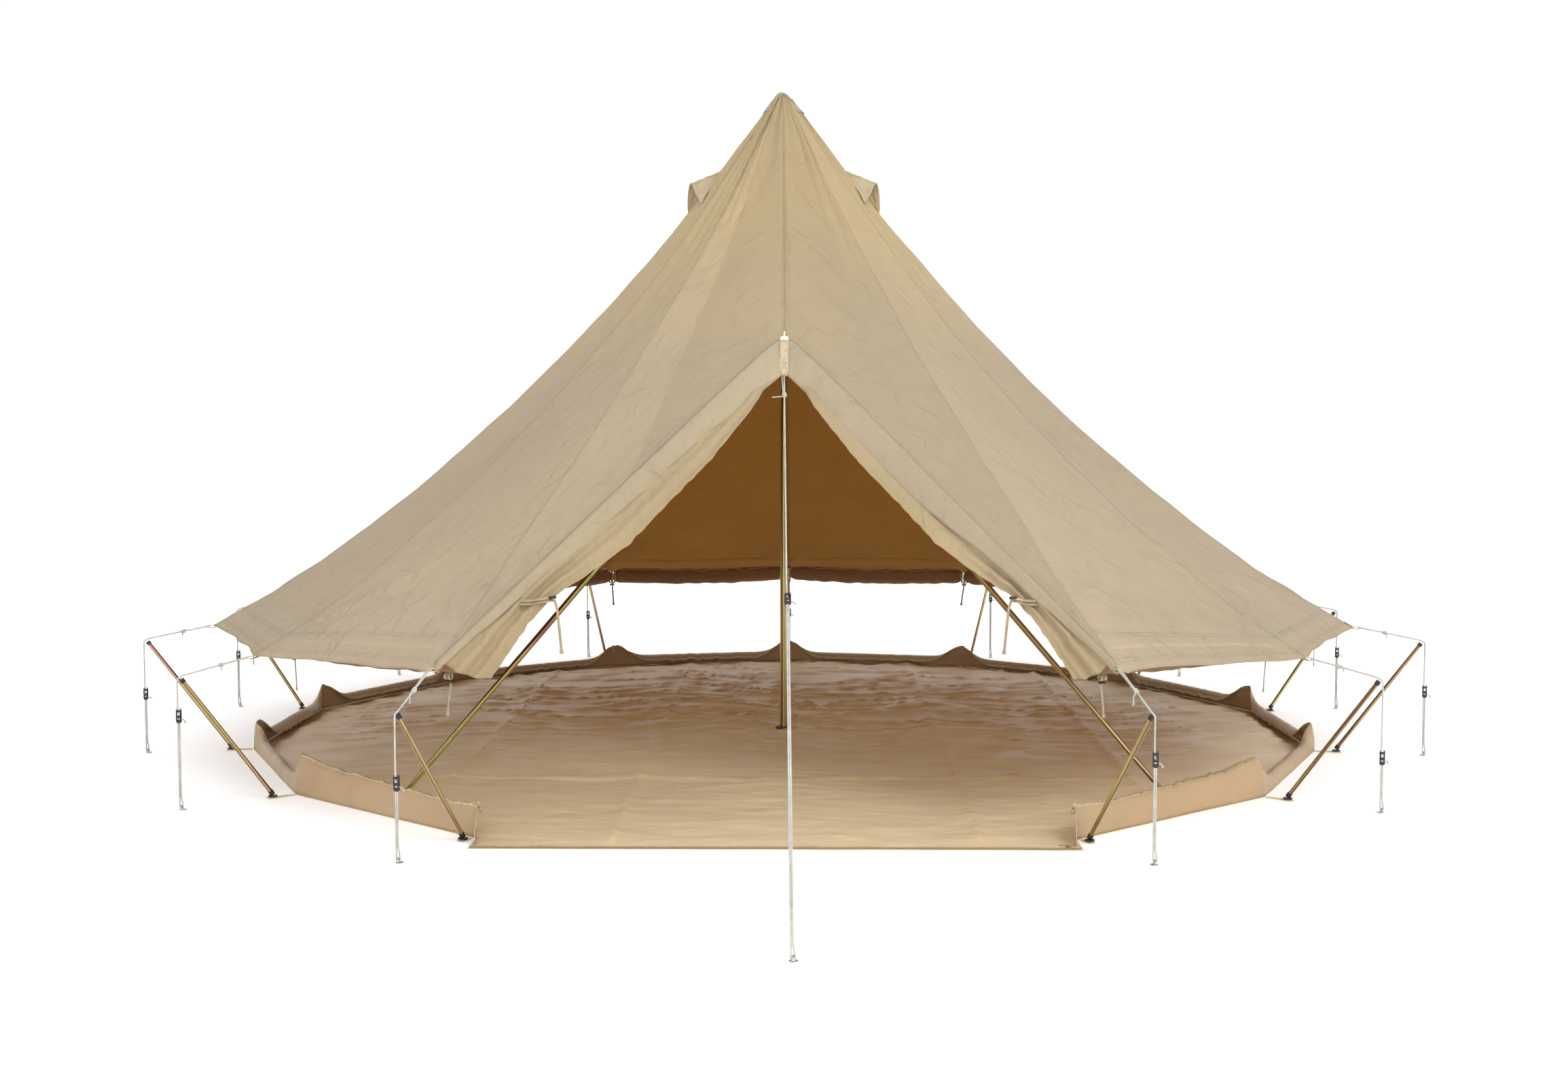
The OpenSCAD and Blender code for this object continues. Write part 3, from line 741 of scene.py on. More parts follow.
# How long a side panel and a door panel are, down the slope.
SIDE_SLOPE, DOOR_SLOPE = 3.3, 3.56
RIM = [PEAK] + [eave_corner(k) for k in range(1, SIDES)] + [PEAK]
SAG = [0.0, FRONT_SAG] + [SEAM_SAG] * (SIDES - 3) + [FRONT_SAG, 0.0]
U_ROWS = np.concatenate((np.linspace(0.008, 0.10, 16), np.linspace(0.11, EAVE_SEAM, 84),
                         np.linspace(0.955, 1.0, 10)))


def panel_points(p, u, v):
    """Points of panel p on its taut surface: u down the slope, v across."""
    a, b = RIM[p], RIM[p + 1]
    low = a + (b - a) * v[..., None]
    sag = 4 * mix(SAG[p], SAG[p + 1], v) * u * (1 - u)
    if p in (0, 1, SIDES - 2, SIDES - 1):
        near = v if p in (0, SIDES - 2) else 1 - v
        sag = sag * (1 + 0.55 * near * (0.5 - u))
    return APEX + (low - APEX) * u[..., None] - sag[..., None] * Z


def canopy_points():
    """The canopy's grid as one ring of panels, and for each point its panel, u and v."""
    v = np.arange(PANEL_COLS) / PANEL_COLS
    uu, vv = np.meshgrid(U_ROWS, v, indexing="ij")
    parts = [panel_points(p, uu, vv) for p in range(SIDES)]
    panel = np.repeat(np.arange(SIDES), PANEL_COLS)[None, :].repeat(len(U_ROWS), axis=0)
    return np.concatenate(parts, axis=1), panel, np.tile(uu, (1, SIDES)), np.tile(vv, (1, SIDES))


def is_side(panel):
    """True for the twelve panels with an eave, and not for the two beside the door."""
    return (panel > 0) & (panel < SIDES - 1)


def per_panel(panel, v, seed, *shape):
    """Waves across each panel, different on each."""
    total = np.zeros_like(v)
    for p in range(SIDES):
        total = np.where(panel == p, wave(v * math.tau, seed + p, *shape), total)
    return total


def blunt_tip(points, u):
    """The pole's plug holds the cloth off its axis near the top."""
    r = np.linalg.norm(points[..., :2], axis=2)
    extra = 0.021 * np.clip(1 - u / 0.5, 0, 1) ** 2
    points[..., :2] *= ((r + extra) / np.maximum(r, 1e-6))[..., None]


def canopy_wrinkles(panel, u, v):
    """How far each point stands off the taut surface, outwards, in metres."""
    inside = hump(v)
    side = is_side(panel)
    seam_end = np.where(side, EAVE_SEAM, 1.0)
    share = np.clip(u / seam_end, 0, 1)
    d = -0.012 * inside * 4 * share * (1 - share)
    pleats = per_panel(panel, v, 40, 5, 1.2, 4.6) * np.where(side, 0.010, 0.022)
    d += pleats * bell(u - 0.17, 0.17) * inside ** 0.6
    d += wave((panel + v) * math.tau, 11, 6, 8.0, 19.0) * 0.0050 * bell(u - 0.08, 0.11)
    slant = wave(((panel + v) * 0.9 + u * 5.5) * math.tau, 23, 4, 0.5, 1.6)
    d += 0.0060 * slant * wave(u * 9, 29, 3, 0.6, 2.0) * inside
    down = (seam_end - u) * 3.0
    for across, seed in ((v * u * 1.16, 5), ((1 - v) * u * 1.16, 9)):
        reach = np.hypot(across, down)
        angle = np.arctan2(down, across + 1e-6)
        fan = np.sin(angle * 11 + wave(panel * 1.7, seed) * 4) * bell(reach - 0.22, 0.22)
        d += 0.0060 * fan * step_up(reach, 0.02, 0.14) * (u <= seam_end + 0.001)
    return d


def bend_flap(points, panel, u, v):
    """The loose eave flap droops and pulls in between its corners."""
    t = np.clip((u - EAVE_SEAM) / (1 - EAVE_SEAM), 0, 1) * is_side(panel)
    inside = hump(v) ** 0.8
    out = points[..., :2] / np.linalg.norm(points[..., :2], axis=2)[..., None]
    ripple = per_panel(panel, v, 70, 4, 1.0, 3.4)
    points[..., :2] -= out * (t * inside * (0.036 - 0.010 * ripple))[..., None]
    points[..., 2] -= t * inside * (0.012 + 0.006 * ripple)
    near_door = np.where(panel == 1, v, np.where(panel == SIDES - 2, 1 - v, 1.0))
    tuck = 0.035 * t * np.exp(-near_door / 0.05) * (1 - np.exp(-near_door / 0.012))
    points[..., 0] += np.sign(points[..., 0]) * tuck
    points[..., 2] -= tuck


def make_canopy():
    points, panel, u, v = canopy_points()
    blunt_tip(points, u)
    wrapped = np.concatenate((points[:, -1:], points, points[:, :1]), axis=1)
    normals = grid_normals(wrapped)[:, 1:-1]
    if normals[50, 5] @ Z < 0:
        normals = -normals
    points = points + normals * canopy_wrinkles(panel, u, v)[..., None]
    bend_flap(points, panel, u, v)
    points = points + normals * ripple_noise(points)[..., None]
    wide = np.array([np.linalg.norm(b - a) for a, b in zip(RIM, RIM[1:])])
    nearest = np.minimum(v, 1 - v) * wide[panel] * u
    for seam, first in ((EAVE_SEAM, 0.0047), (HEM, 0.0060)):
        from_seam = np.abs(u - seam) * SIDE_SLOPE + first
        nearest = np.minimum(nearest, np.where(is_side(panel), from_seam, 1.0))
    uv = np.stack((nearest, u * DOOR_SLOPE), axis=-1)
    uv = np.concatenate((uv, uv[:, :1]), axis=1)
    obj = Shape().grid(points, uv, closed=True)
    obj = obj.make("canopy", [OUTER, INNER_SHADED], slot="roof_canvas")
    face_out(obj, Z)
    thicken(obj, CANVAS_T, -1.0, inner=1)
    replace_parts(obj, "roof_panels", "eave_flap")


def ripple_noise(points):
    """Small lumps of three sizes: how often they come, and how high they are."""
    sizes = ((2.1, 0.009), (5.3, 0.0035), (12.0, 0.0014))
    flat = [sum(noise.noise(Vector(p) * often) * high for often, high in sizes)
            for p in points.reshape(-1, 3)]
    return np.array(flat).reshape(points.shape[:2])


def face_out(obj, up):
    """Turns the whole mesh over if its middle faces the wrong way."""
    mesh = obj.data
    facing = sum(p.normal.dot(Vector(up)) * p.area for p in mesh.polygons)
    if facing < 0:
        mesh.flip_normals()


make_canopy()


def make_apex_cap():
    """The canvas cap sewn over the tip, blunt on top, with a loose hem."""
    profile = ((0.002, 3.0045), (0.010, 3.003), (0.018, 2.999), (0.026, 2.992), (0.033, 2.984),
               (0.040, 2.975), (0.048, 2.965), (0.056, 2.955), (0.064, 2.945), (0.071, 2.936),
               (0.078, 2.927), (0.084, 2.919), (0.089, 2.912), (0.092, 2.909))
    rows, cols = len(profile), SIDES * 8
    angles = np.arange(cols) * math.tau / cols
    points = np.zeros((rows, cols, 3))
    for i, (r, z) in enumerate(profile):
        share = i / (rows - 1)
        lumps = 0.05 * wave(angles * 3.0, 3, 4, 1.0, 4.0) + 0.04 * np.cos(7 * angles)
        ring = r * (1 + share * lumps)
        x, y = ring * np.sin(angles), -ring * np.cos(angles)
        scallop = 0.004 * share * np.cos(SIDES * angles)
        points[i] = np.stack((x - 0.006 * (1 - share), y, z - scallop - 0.10 * (1 - share) * x), -1)
    uv = np.stack(np.meshgrid(np.linspace(0, 0.56, cols + 1), np.linspace(0, 0.13, rows)), axis=-1)
    obj = Shape().grid(points, uv, closed=True).make("apex_patch", [TRIM], slot="roof_canvas")
    face_out(obj, Z)
    thicken(obj, FLAP_T, -1.0)
    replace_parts(obj, "apex_cap")


make_apex_cap()

# ---- Vent hoods ----


def make_vent_hood(side, name):
    """A hood of two gussets that meet in a ridge, with a stiff hem round its open mouth."""
    top, tip = vec(side * 0.262, 0, 2.645), vec(side * 0.436, 0, 2.582)
    feet = {-1: vec(side * 0.376, -0.176, 2.468), 1: vec(side * 0.452, 0.105, 2.446)}
    shape = Shape()
    rim = []
    for t in (-1, 1):
        rows = []
        for a in np.linspace(0, 1, 14):
            end = mix(tip, feet[t], a) + vec(side * 0.008 * hump(a) * (t > 0), t * 0.012 * hump(a),
                                             0.010 * hump(min(1, a * 2.0)))
            rim.append((a if t < 0 else -a, end))
            row = []
            for s in np.linspace(0, 1, 18):
                wrinkle = 0.006 * math.sin(11 * s + 7 * a + 2 * t)
                wrinkle += 0.004 * math.sin(23 * a - 9 * s)
                p = mix(top, end, s) + vec(side * 0.3, t, 0.6) * wrinkle * hump(s)
                p[2] += hump(s) * mix(0.001, 0.022, a)
                row.append(p)
            rows.append(row)
        shape.grid(np.array(rows), flip=t * side > 0)
    rim = [p for _, p in sorted(rim, key=lambda r: -r[0])]
    hem = (0.028, 0.4), (0.024, 1), (0.014, 1), (0.004, 1), (-0.002, 0.4)
    rows = []
    for p in even(np.array(rim[:14] + rim[15:]), 0.006):
        back = unit(top - p - Z * 0.03)
        lift = vec(side * 0.3, np.sign(p[1]) * 0.4, 0.8) * 0.004
        rows.append([p + back * w + lift * high for w, high in hem])
    shape.grid(np.array(rows))
    obj = shape.make(name, [HOOD], slot="roof_canvas")
    thicken(obj, HOOD_T)
    return obj


HOODS = [make_vent_hood(s, n) for s, n in ((-1, "vent_hood_left"), (1, "vent_hood_right"))]
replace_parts(HOODS[0], "vent_hoods")

# ---- Awning and door flaps ----


def door_edge(side, v):
    return mix(PEAK, eave_corner(1 if side > 0 else CORNERS), v)


# How far the awning hangs down, by the share of the way from the peak to the eave.
AWNING_DROP = {
    1: ((0, 0.12, 0.3, 0.4, 0.5, 0.6, 0.72, 0.85, 1),
        (0.114, 0.104, 0.110, 0.112, 0.090, 0.064, 0.044, 0.03, 0.02)),
    -1: ((0, 0.12, 0.24, 0.34, 0.46, 0.58, 0.72, 0.85, 1),
         (0.114, 0.104, 0.076, 0.068, 0.066, 0.062, 0.044, 0.03, 0.02)),
}


def make_awning():
    """One band over the peak and down both edges of the door, rounded at the top."""
    rows = []
    for s in np.linspace(-1, 1, 121):
        side, v = (1 if s >= 0 else -1), abs(s)
        soft = (math.sqrt(v * v + 0.0009) - 0.03) * 1.0304
        line = door_edge(side, v)
        top = vec(line[0], *door_edge(side, soft)[1:]) + vec(0, -0.004, 0.006)
        drop = float(np.interp(v, *AWNING_DROP[side]))
        ripple = wave(s * 9.0, 31, 5, 1.0, 4.5)
        low = line + vec(0.0, -0.045 * drop / 0.114 + 0.010 * hump(v) - 0.008 * ripple,
                         -drop + 0.006 * wave(s * 14.0, 37, 5, 1.0, 4.0))
        row = [top + vec(0, 0.016, 0.013)]
        for c in np.linspace(0, 1, 9):
            gathers = math.sin(90 * v + 3 * c + side) * bell(v, 0.2) * hump(c)
            belly = 0.12 * drop * hump(min(1.0, c * 0.8))
            row.append(mix(top, low, c) + vec(0, -belly - 0.006 * (ripple * c + gathers),
                                              0.004 * hump(c)))
        rows.append(row)
    points = np.array(rows)
    obj = Shape().grid(points).make("awning", [TRIM], slot="roof_canvas")
    face_out(obj, (0, -1, 0.2))
    thicken(obj, CANVAS_T, -1.0)
    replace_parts(obj, "door_awning")
    return points


AWNING = make_awning()


def make_door_webbing():
    """The band of webbing down the middle of the awning, and the loop for the front rope."""
    middle = AWNING[len(AWNING) // 2]
    line = [middle[0] + vec(0, -0.002, 0.003)] + [p + vec(0, -0.0045, 0) for p in middle[1:]]
    line = even(np.array(line), 0.008)
    rows = [[p + vec(x, -0.0008 * math.cos(x * 60), 0) for x in np.linspace(-0.0165, 0.0165, 7)]
            for p in line]
    shape = Shape().grid(np.array(rows))
    end = line[-1]
    loop = [end + vec(0, 0.002, 0.016), end + vec(0, -0.002, -0.004),
            FRONT_ROPE_START + vec(0, -0.004, -0.001), FRONT_ROPE_START + vec(0, 0.004, -0.002),
            end + vec(0, 0.012, -0.004), end + vec(0, 0.010, 0.016)]
    rows = [[p + vec(x, 0, 0) for x in np.linspace(-0.011, 0.011, 5)]
            for p in rounded(loop, 0.008, 0.003)]
    obj = shape.grid(np.array(rows)).make("door_peak_webbing", [PEAK_WEBBING], slot="webbing")
    thicken(obj, TAPE_T)
    low, high = end[2] + 0.012, end[2] + 0.040
    path = []
    for x, z in ((-0.012, low), (0.012, high), (-0.012, high), (0.012, low), (-0.012, low)):
        y = np.interp(z, line[::-1, 2], line[::-1, 1])
        path.append((line[0][0] + x, y - 0.0022, z))
    stitch = Shape().tube(rounded(path, 0.002, 0.003), 0.0007, 6)
    stitch.make("door_peak_stitching", [ZIP_TAPE], slot="webbing")


make_door_webbing()


def make_door_flap(side, name):
    """One side of the door curtain, gathered and tied back, with its lower end fanning out."""
    tie = vec(0.024 + side * 0.805, -2.215, 0.855)
    tip = vec(0.024 + side * 1.0, -2.372, 0.587)
    free = [(0.00, (side * 0.03, -1.735, 1.665)), (0.10, (side * 0.115, -1.86, 1.52)),
            (0.26, (side * 0.27, -1.965, 1.325)), (0.42, (side * 0.425, -2.06, 1.165)),
            (0.54, (side * 0.545, -2.13, 1.035)), (0.64, (side * 0.68, -2.175, 0.935))]
    free = [(t, np.array(p) + vec(0.024, 0, 0)) for t, p in free] + [(0.72, tie)]
    free += [(0.80, mix(tie, tip, 0.35) + vec(side * 0.008, 0.0, 0.01)), (1.0, tip)]
    ts = np.array([t for t, _ in free])
    ps = np.array([p for _, p in free])
    rows = []
    lengths, across = 96, 30
    for i, t in enumerate(np.linspace(0, 1, lengths)):
        inner = door_edge(side, 0.03 + 0.955 * t) + vec(side * 0.002, 0.004, 0.002)
        outer = np.array([np.interp(t, ts, ps[:, j]) for j in range(3)])
        gather = bell(t - 0.72, 0.10)
        loose = step_up(t, 0.76, 1.0)
        spread = unit(outer - inner)
        row = []
        for s in np.linspace(0, 1, across):
            p = mix(inner, outer, s)
            pleat = math.sin(s * math.pi * 5.0 + 0.6 * math.sin(5 * t))
            deep = 0.006 + 0.010 * gather + 0.009 * loose
            p[1] += deep * pleat * hump(min(1, s * 1.05)) ** 0.7
            p[1] += 0.014 * (1 - gather) * hump(s) * (1 - loose)
            p[2] -= 0.018 * loose * hump(s) * (t > 0.9)
            p += spread * 0.0035 * wave(t * 22.0, 51 if side > 0 else 57) * s
            p[1] += 0.004 * math.sin(14 * t + 5 * s) * s
            row.append(p)
        rows.append(row)
    obj = Shape().grid(np.array(rows)).make(name, [SHADED_FLAP_CLOTH], slot="roof_canvas")
    face_out(obj, (0, -1, 0.2))
    thicken(obj, FLAP_T, -1.0)
    return obj, tie


def hanging_tape(shape, points, cut, half, knot, squash, up):
    """A tape's hanging end, with a knot on its tip."""
    line = rounded(points, cut, 0.006)
    radii = np.full(len(line), half)
    radii[-3:] = knot
    shape.tube(line, radii, 8, squash=squash, up=up)


def make_flap_tie(side, tie, name):
    """The tape round the gathered flap, its toggle and its hanging end."""
    inner = door_edge(side, 0.78) + vec(-side * 0.01, 0.01, -0.04)
    middle = mix(inner, tie, 0.5)
    shape = Shape()
    for shift in (0.0, 0.012):
        down = vec(side * shift * 0.5, 0, -shift)
        path = [inner + vec(0, 0.02, 0.012), inner + vec(side * 0.004, -0.024, 0.006),
                middle + vec(0, -0.034, 0), tie + vec(0, -0.020, 0),
                tie + vec(-side * 0.012, 0.004, 0), middle + vec(0, 0.034, 0)]
        line = rounded([p + down for p in path], 0.02, 0.006)
        shape.tube(line, 0.006, 8, squash=0.25, up=(0, 1, 0.3))
    hang = [tie + vec(0, -0.024, 0.0), tie + vec(side * -0.014, -0.026, -0.03),
            tie + vec(side * -0.020, -0.024, -0.09), tie + vec(side * -0.030, -0.022, -0.20)]
    hanging_tape(shape, hang, 0.03, 0.0048, (0.0065, 0.0075, 0.006), 0.4, (0, 1, 0.2))
    shape.make(name + "_tape", [WEBBING], slot="webbing")
    ends = [tie + vec(0.013 * t, -0.030, 0.002 * t) for t in np.linspace(-1, 1, 11)]
    half = [0.003, 0.0048, 0.0052, 0.0048, 0.004]
    toggle = Shape().tube(ends, [*half, 0.0036, *half[::-1]], 12)
    toggle.make(name + "_toggle", [BLACK], slot="black_plastic")


for flap_side, flap_name in ((-1, "door_flap_left"), (1, "door_flap_right")):
    FLAP, TIE = make_door_flap(flap_side, flap_name)
    make_flap_tie(flap_side, TIE, flap_name)
    if flap_side < 0:
        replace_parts(FLAP, "door_flaps")

# ---- Rolled wall ----


def roll_end(k):
    lift = {1: 0.075, 2: 0.045, 3: 0.012}.get(min(k, SIDES - k), 0.0)
    return around(k, ROLL_R, ROLL_Z + lift)


def make_roll(k):
    """A stretch of rolled wall: slack in the middle, pinched by its ties, with a spiral edge."""
    a, b = roll_end(k), roll_end(k + 1)
    out = level(a + b)
    rows = []
    count, sides = 60, 30
    angles = np.arange(sides) * math.tau / sides
    across = np.linspace(0, 1, 5)[:, None]
    for t in np.linspace(0.012, 0.988, count):
        pinch = 1 - 0.36 * bell(min(t, 1 - t), 0.035)
        end = step_up(min(t, 1 - t), 0.0, 0.02)
        centre = mix(a, b, t) - Z * (0.012 * hump(t)) + Z * 0.004 * wave(t * 9.0, k)
        r = ROLL_RADIUS * pinch * (0.55 + 0.45 * end)
        spiral = 1 + 0.05 * ((angles / math.tau + 0.15) % 1.0) - 0.03
        folds = 1 + 0.035 * np.sin(5 * angles + 7 * t + k) + 0.03 * np.sin(9 * angles - 23 * t)
        twist = 0.03 * np.sin(3 * angles + 40 * t) * bell(min(t, 1 - t), 0.12)
        ring = r * (spiral * folds + twist)
        x = np.cos(angles) * ring * 0.92
        z = np.sin(angles) * ring * 1.02
        rows.append(centre + x[:, None] * out + z[:, None] * Z)
    shape = Shape().grid(np.array(rows), closed=True)
    roll = shape.make(f"rolled_wall_{k}", [ROLLED], slot="wall_canvas")
    flap = []
    for t in np.linspace(0.03, 0.97, count):
        centre = mix(a, b, t) + Z * (0.036 - 0.012 * hump(t))
        lift = 0.014 + 0.007 * wave(t * 30.0, 90 + k, 4, 0.6, 2.4)
        rise = lift * np.sin(1.9 * across) - 0.012 * across
        flap.append(centre - out * (0.008 + 0.018 * across) + Z * rise)
    strip = Shape().grid(np.array(flap)).make(f"mud_flap_{k}", [MUD_FLAP], slot="groundsheet_pvc")
    thicken(strip, LOOP_T)
    return roll


ROLLS = [make_roll(k) for k in range(1, CORNERS)]
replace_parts(ROLLS[0], "rolled_walls")


def make_wall_ties():
    """Tapes that hold the rolls at the corners, with toggles and hanging ends."""
    tapes, toggles = Shape(), Shape()
    for k in range(1, SIDES):
        c = around(k, 2.60, 0.590) if is_front(k) else roll_end(k) - Z * 0.008
        out, along = sides_of(c)
        around_roll = 0.010 if is_front(k) else 0.036
        loop = [c + around_roll * (math.cos(t) * out + math.sin(t) * 1.05 * Z)
                for t in np.linspace(-1.2, 4.6, 30)]
        for shift in (-0.010, 0.006):
            tapes.tube(np.array(loop) + along * shift, 0.006, 8, squash=0.22, up=out)
        low = c - Z * (around_roll + 0.008) - out * 0.010
        sway = along * 0.010 * math.sin(k * 2.3)
        hang = [low + Z * 0.01, low - Z * 0.02, low - Z * 0.07 + sway, low - Z * 0.125 + sway * 1.6]
        hanging_tape(tapes, hang, 0.02, 0.0046, (0.0062, 0.0072, 0.0058), 0.35, out)
        knob = c - Z * (around_roll + 0.009) - out * 0.004
        ends = [knob + along * x for x in np.linspace(-0.014, 0.014, 9)]
        toggles.tube(ends, [0.003, 0.0048, 0.005, 0.0042, 0.0036, 0.0042, 0.005, 0.0048, 0.003], 12)
    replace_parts(tapes.make("wall_tie_tapes", [WEBBING], slot="webbing"), "wall_ties")
    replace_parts(toggles.make("wall_tie_toggles", [BLACK], slot="black_plastic"), "tie_toggles")


make_wall_ties()


def make_eave_loops():
    """Folded webbing sewn to each corner of the eave; the guy rope runs through its fold."""
    shape = Shape()
    for k in range(1, SIDES):
        c = eave_corner(k)
        out, along = sides_of(c)
        c = c - Z * 0.006
        fold = [(-0.045, 0.026), (-0.02, 0.013), (0.004, 0.0045), (0.018, 0.0040),
                (0.0245, 0.0030), (0.0262, 0.0), (0.0245, -0.003), (0.018, -0.0045),
                (0.002, -0.0055), (-0.03, 0.004)]
        line = even(np.array([c + out * x + Z * z for x, z in fold]), 0.003)
        rows = []
        for p in line:
            reach = (p - c) @ out
            half = 0.010 - 0.0035 * step_up(reach, 0.0, 0.024)
            rows.append([p + along * w for w in np.linspace(-half, half, 6)])
        shape.grid(np.array(rows))
    obj = shape.make("eave_webbing_loops", [WEBBING], slot="webbing")
    thicken(obj, LOOP_T)
    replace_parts(obj, "eave_loops")


make_eave_loops()

# ---- Groundsheet ----


def floor_corner(k):
    if is_front(k):
        return vec(FLOOR_FRONT_X if k == 1 else -FLOOR_FRONT_X, -WALL_END_Y, 0.0)
    return around(k, FLOOR_R, 0.0)


FOLDS_X = (-1.34, -0.58, 0.72, 1.44)
FOLDS_Y = (-1.2, -0.08, 1.05)


def floor_height(x, y):
    """Fold creases in a grid, long shallow wrinkles, and slack all over."""
    h = np.zeros_like(x)
    for i, at in enumerate(FOLDS_X):
        line = at + 0.010 * wave(y * 2.0, 100 + i)
        h += 0.0090 * bell(x - line, 0.014) + 0.0040 * bell(x - line, 0.09)
    for i, at in enumerate(FOLDS_Y):
        line = at + 0.008 * wave(x * 2.0, 110 + i)
        h += 0.0070 * bell(y - line, 0.013) + 0.0030 * bell(y - line, 0.08)
    streaks = np.zeros(x.shape)
    slack = np.zeros(x.shape)
    for index in np.ndindex(*x.shape):
        px, py = float(x[index]), float(y[index])
        bent = py * 7.5 + 0.6 * math.sin(px * 2.0) + 0.5 * math.sin(px * 5.1 + py)
        streaks[index] = (noise.noise(Vector((px * 1.5, bent, 0.3)))
                          + 0.4 * noise.noise(Vector((px * 4, bent * 2.6, 2))))
        slack[index] = noise.noise(Vector((px * 1.9, py * 1.9, 4.0)))
    back = step_up(y, -1.0, 0.8)
    ridges = (1 - np.clip(np.abs(streaks) * 3.6, 0, 1)) ** 1.8
    return h + ridges * mix(0.0050, 0.0140, back) + 0.010 * np.abs(slack)


def floor_limits(y):
    """The floor's left and right edge at y."""
    pts = [floor_corner(k) for k in range(1, SIDES)]
    pts = [vec(FLOOR_FRONT_X, -FLOOR_FRONT, 0)] + pts + [vec(-FLOOR_FRONT_X, -FLOOR_FRONT, 0)]
    xs = []
    for a, b in zip(pts, pts[1:]):
        if min(a[1], b[1]) - 1e-9 <= y <= max(a[1], b[1]) + 1e-9 and abs(a[1] - b[1]) > 1e-6:
            xs.append(a[0] + (b[0] - a[0]) * (y - a[1]) / (b[1] - a[1]))
    return (min(xs), max(xs)) if xs else (-0.001, 0.001)


def make_floor():
    ys = np.concatenate((np.linspace(-FLOOR_FRONT, -WALL_END_Y, 9),
                         np.linspace(-WALL_END_Y + 0.02, FLOOR_BACK, 196)))
    cols = 220
    t = np.linspace(0, 1, cols)
    x = np.array([mix(*floor_limits(y), t) for y in ys])
    y = np.repeat(ys[:, None], cols, axis=1)
    edge = step_up(np.minimum(t, 1 - t), 0, 0.02)[None, :]
    z = SHEET_TOP - 0.0012 + floor_height(x, y) * edge * step_up(y + FLOOR_FRONT, 0.025, 0.16)
    points = np.stack((x, y, z), axis=-1)
    obj = Shape().grid(points).make("groundsheet", [FLOOR], slot="groundsheet_pvc")
    face_out(obj, Z)
    thicken(obj, FLOOR_T)
    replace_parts(obj, "groundsheet_floor")


def wall_profile(droop):
    """The wall's cross-section as steps inwards and up: upright at corners, flopped between."""
    up = [(0.0, 0.0), (0.002, 0.02), (0.004, 0.05), (0.006, 0.08), (0.010, 0.105), (0.014, 0.13),
          (0.020, 0.150), (0.024, 0.158)]
    bent = [(-0.002, 0.0), (-0.001, 0.022), (0.002, 0.046), (0.012, 0.070), (0.034, 0.082),
            (0.058, 0.078), (0.080, 0.066), (0.094, 0.050)]
    return [(mix(a[0], b[0], droop), mix(a[1], b[1], droop)) for a, b in zip(up, bent)]


def make_groundsheet_walls():
    rows = []
    ends = [floor_corner(k) + vec(-s * 0.018, -0.120, 0) for k, s in ((1, 1), (CORNERS, -1))]
    stops = [ends[0]] + [floor_corner(k) for k in range(1, SIDES)] + [ends[1]]
    for i, (a, b) in enumerate(zip(stops, stops[1:])):
        short = i in (0, SIDES - 1)
        count = 12 if short else 40
        for n, t in enumerate(np.linspace(0, 1, count, endpoint=i == SIDES - 1)):
            foot = mix(a, b, t)
            inwards = -level(foot)
            if short:
                droop = 0.0
            else:
                upright = i in (1, CORNERS - 1)
                droop = float(step_up(min(t, 1 - t), 0.0, 0.19)) * (0.22 if upright else 1.0)
                droop += 0.10 * wave(t * 20.0, 150 + i) * hump(t)
            row = []
            from_door = t if i < 2 else 1 - t
            tall = 0.74 + 0.05 * math.sin(i * 2.1)
            if i in (1, CORNERS - 1):
                tall = mix(0.70, 0.96, from_door)
            if short:
                tall = 0.70 * (0.10 + 0.90 * from_door ** 0.7)
            for x, z in wall_profile(droop):
                x, z = x * tall ** 2, z * tall
                ripple = 0.010 * wave(i * 9 + t * 16.0, 160, 4, 0.5, 1.8) * (z / 0.16)
                puff = 0.005 * noise.noise(Vector((foot[0] * 3, foot[1] * 3, z * 9)))
                p = foot * 0.999 + inwards * (x + ripple + puff) + Z * (z + SHEET_TOP)
                p[2] = max(p[2] + 0.004 * ripple, 0.001)
                row.append(p)
            rows.append(row)
    points = np.array(rows)
    obj = Shape().grid(points).make("groundsheet_tub", [WALL], slot="groundsheet_pvc")
    thicken(obj, TUB_T)
    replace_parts(obj, "groundsheet_walls")
    make_wall_trim(points)


def make_wall_trim(points):
    """The half zip along the top of the wall: a narrow tape that ripples."""
    tops = points[:, -1]
    down = tops - points[:, -2]
    down /= np.linalg.norm(down, axis=1)[:, None]
    run = np.arange(len(tops))
    ripple = 0.0022 * wave(run * 1.1, 170, 4, 0.6, 2.2)
    rows = [[p + d * w + Z * (r if w > 0.004 else 0) for w in (-0.004, 0.003, 0.010)]
            for p, d, r in zip(tops, down, ripple)]
    obj = Shape().grid(np.array(rows)).make("wall_zip_tape", [ZIP_TAPE], slot="webbing")
    thicken(obj, CANVAS_T)


make_floor()
make_groundsheet_walls()


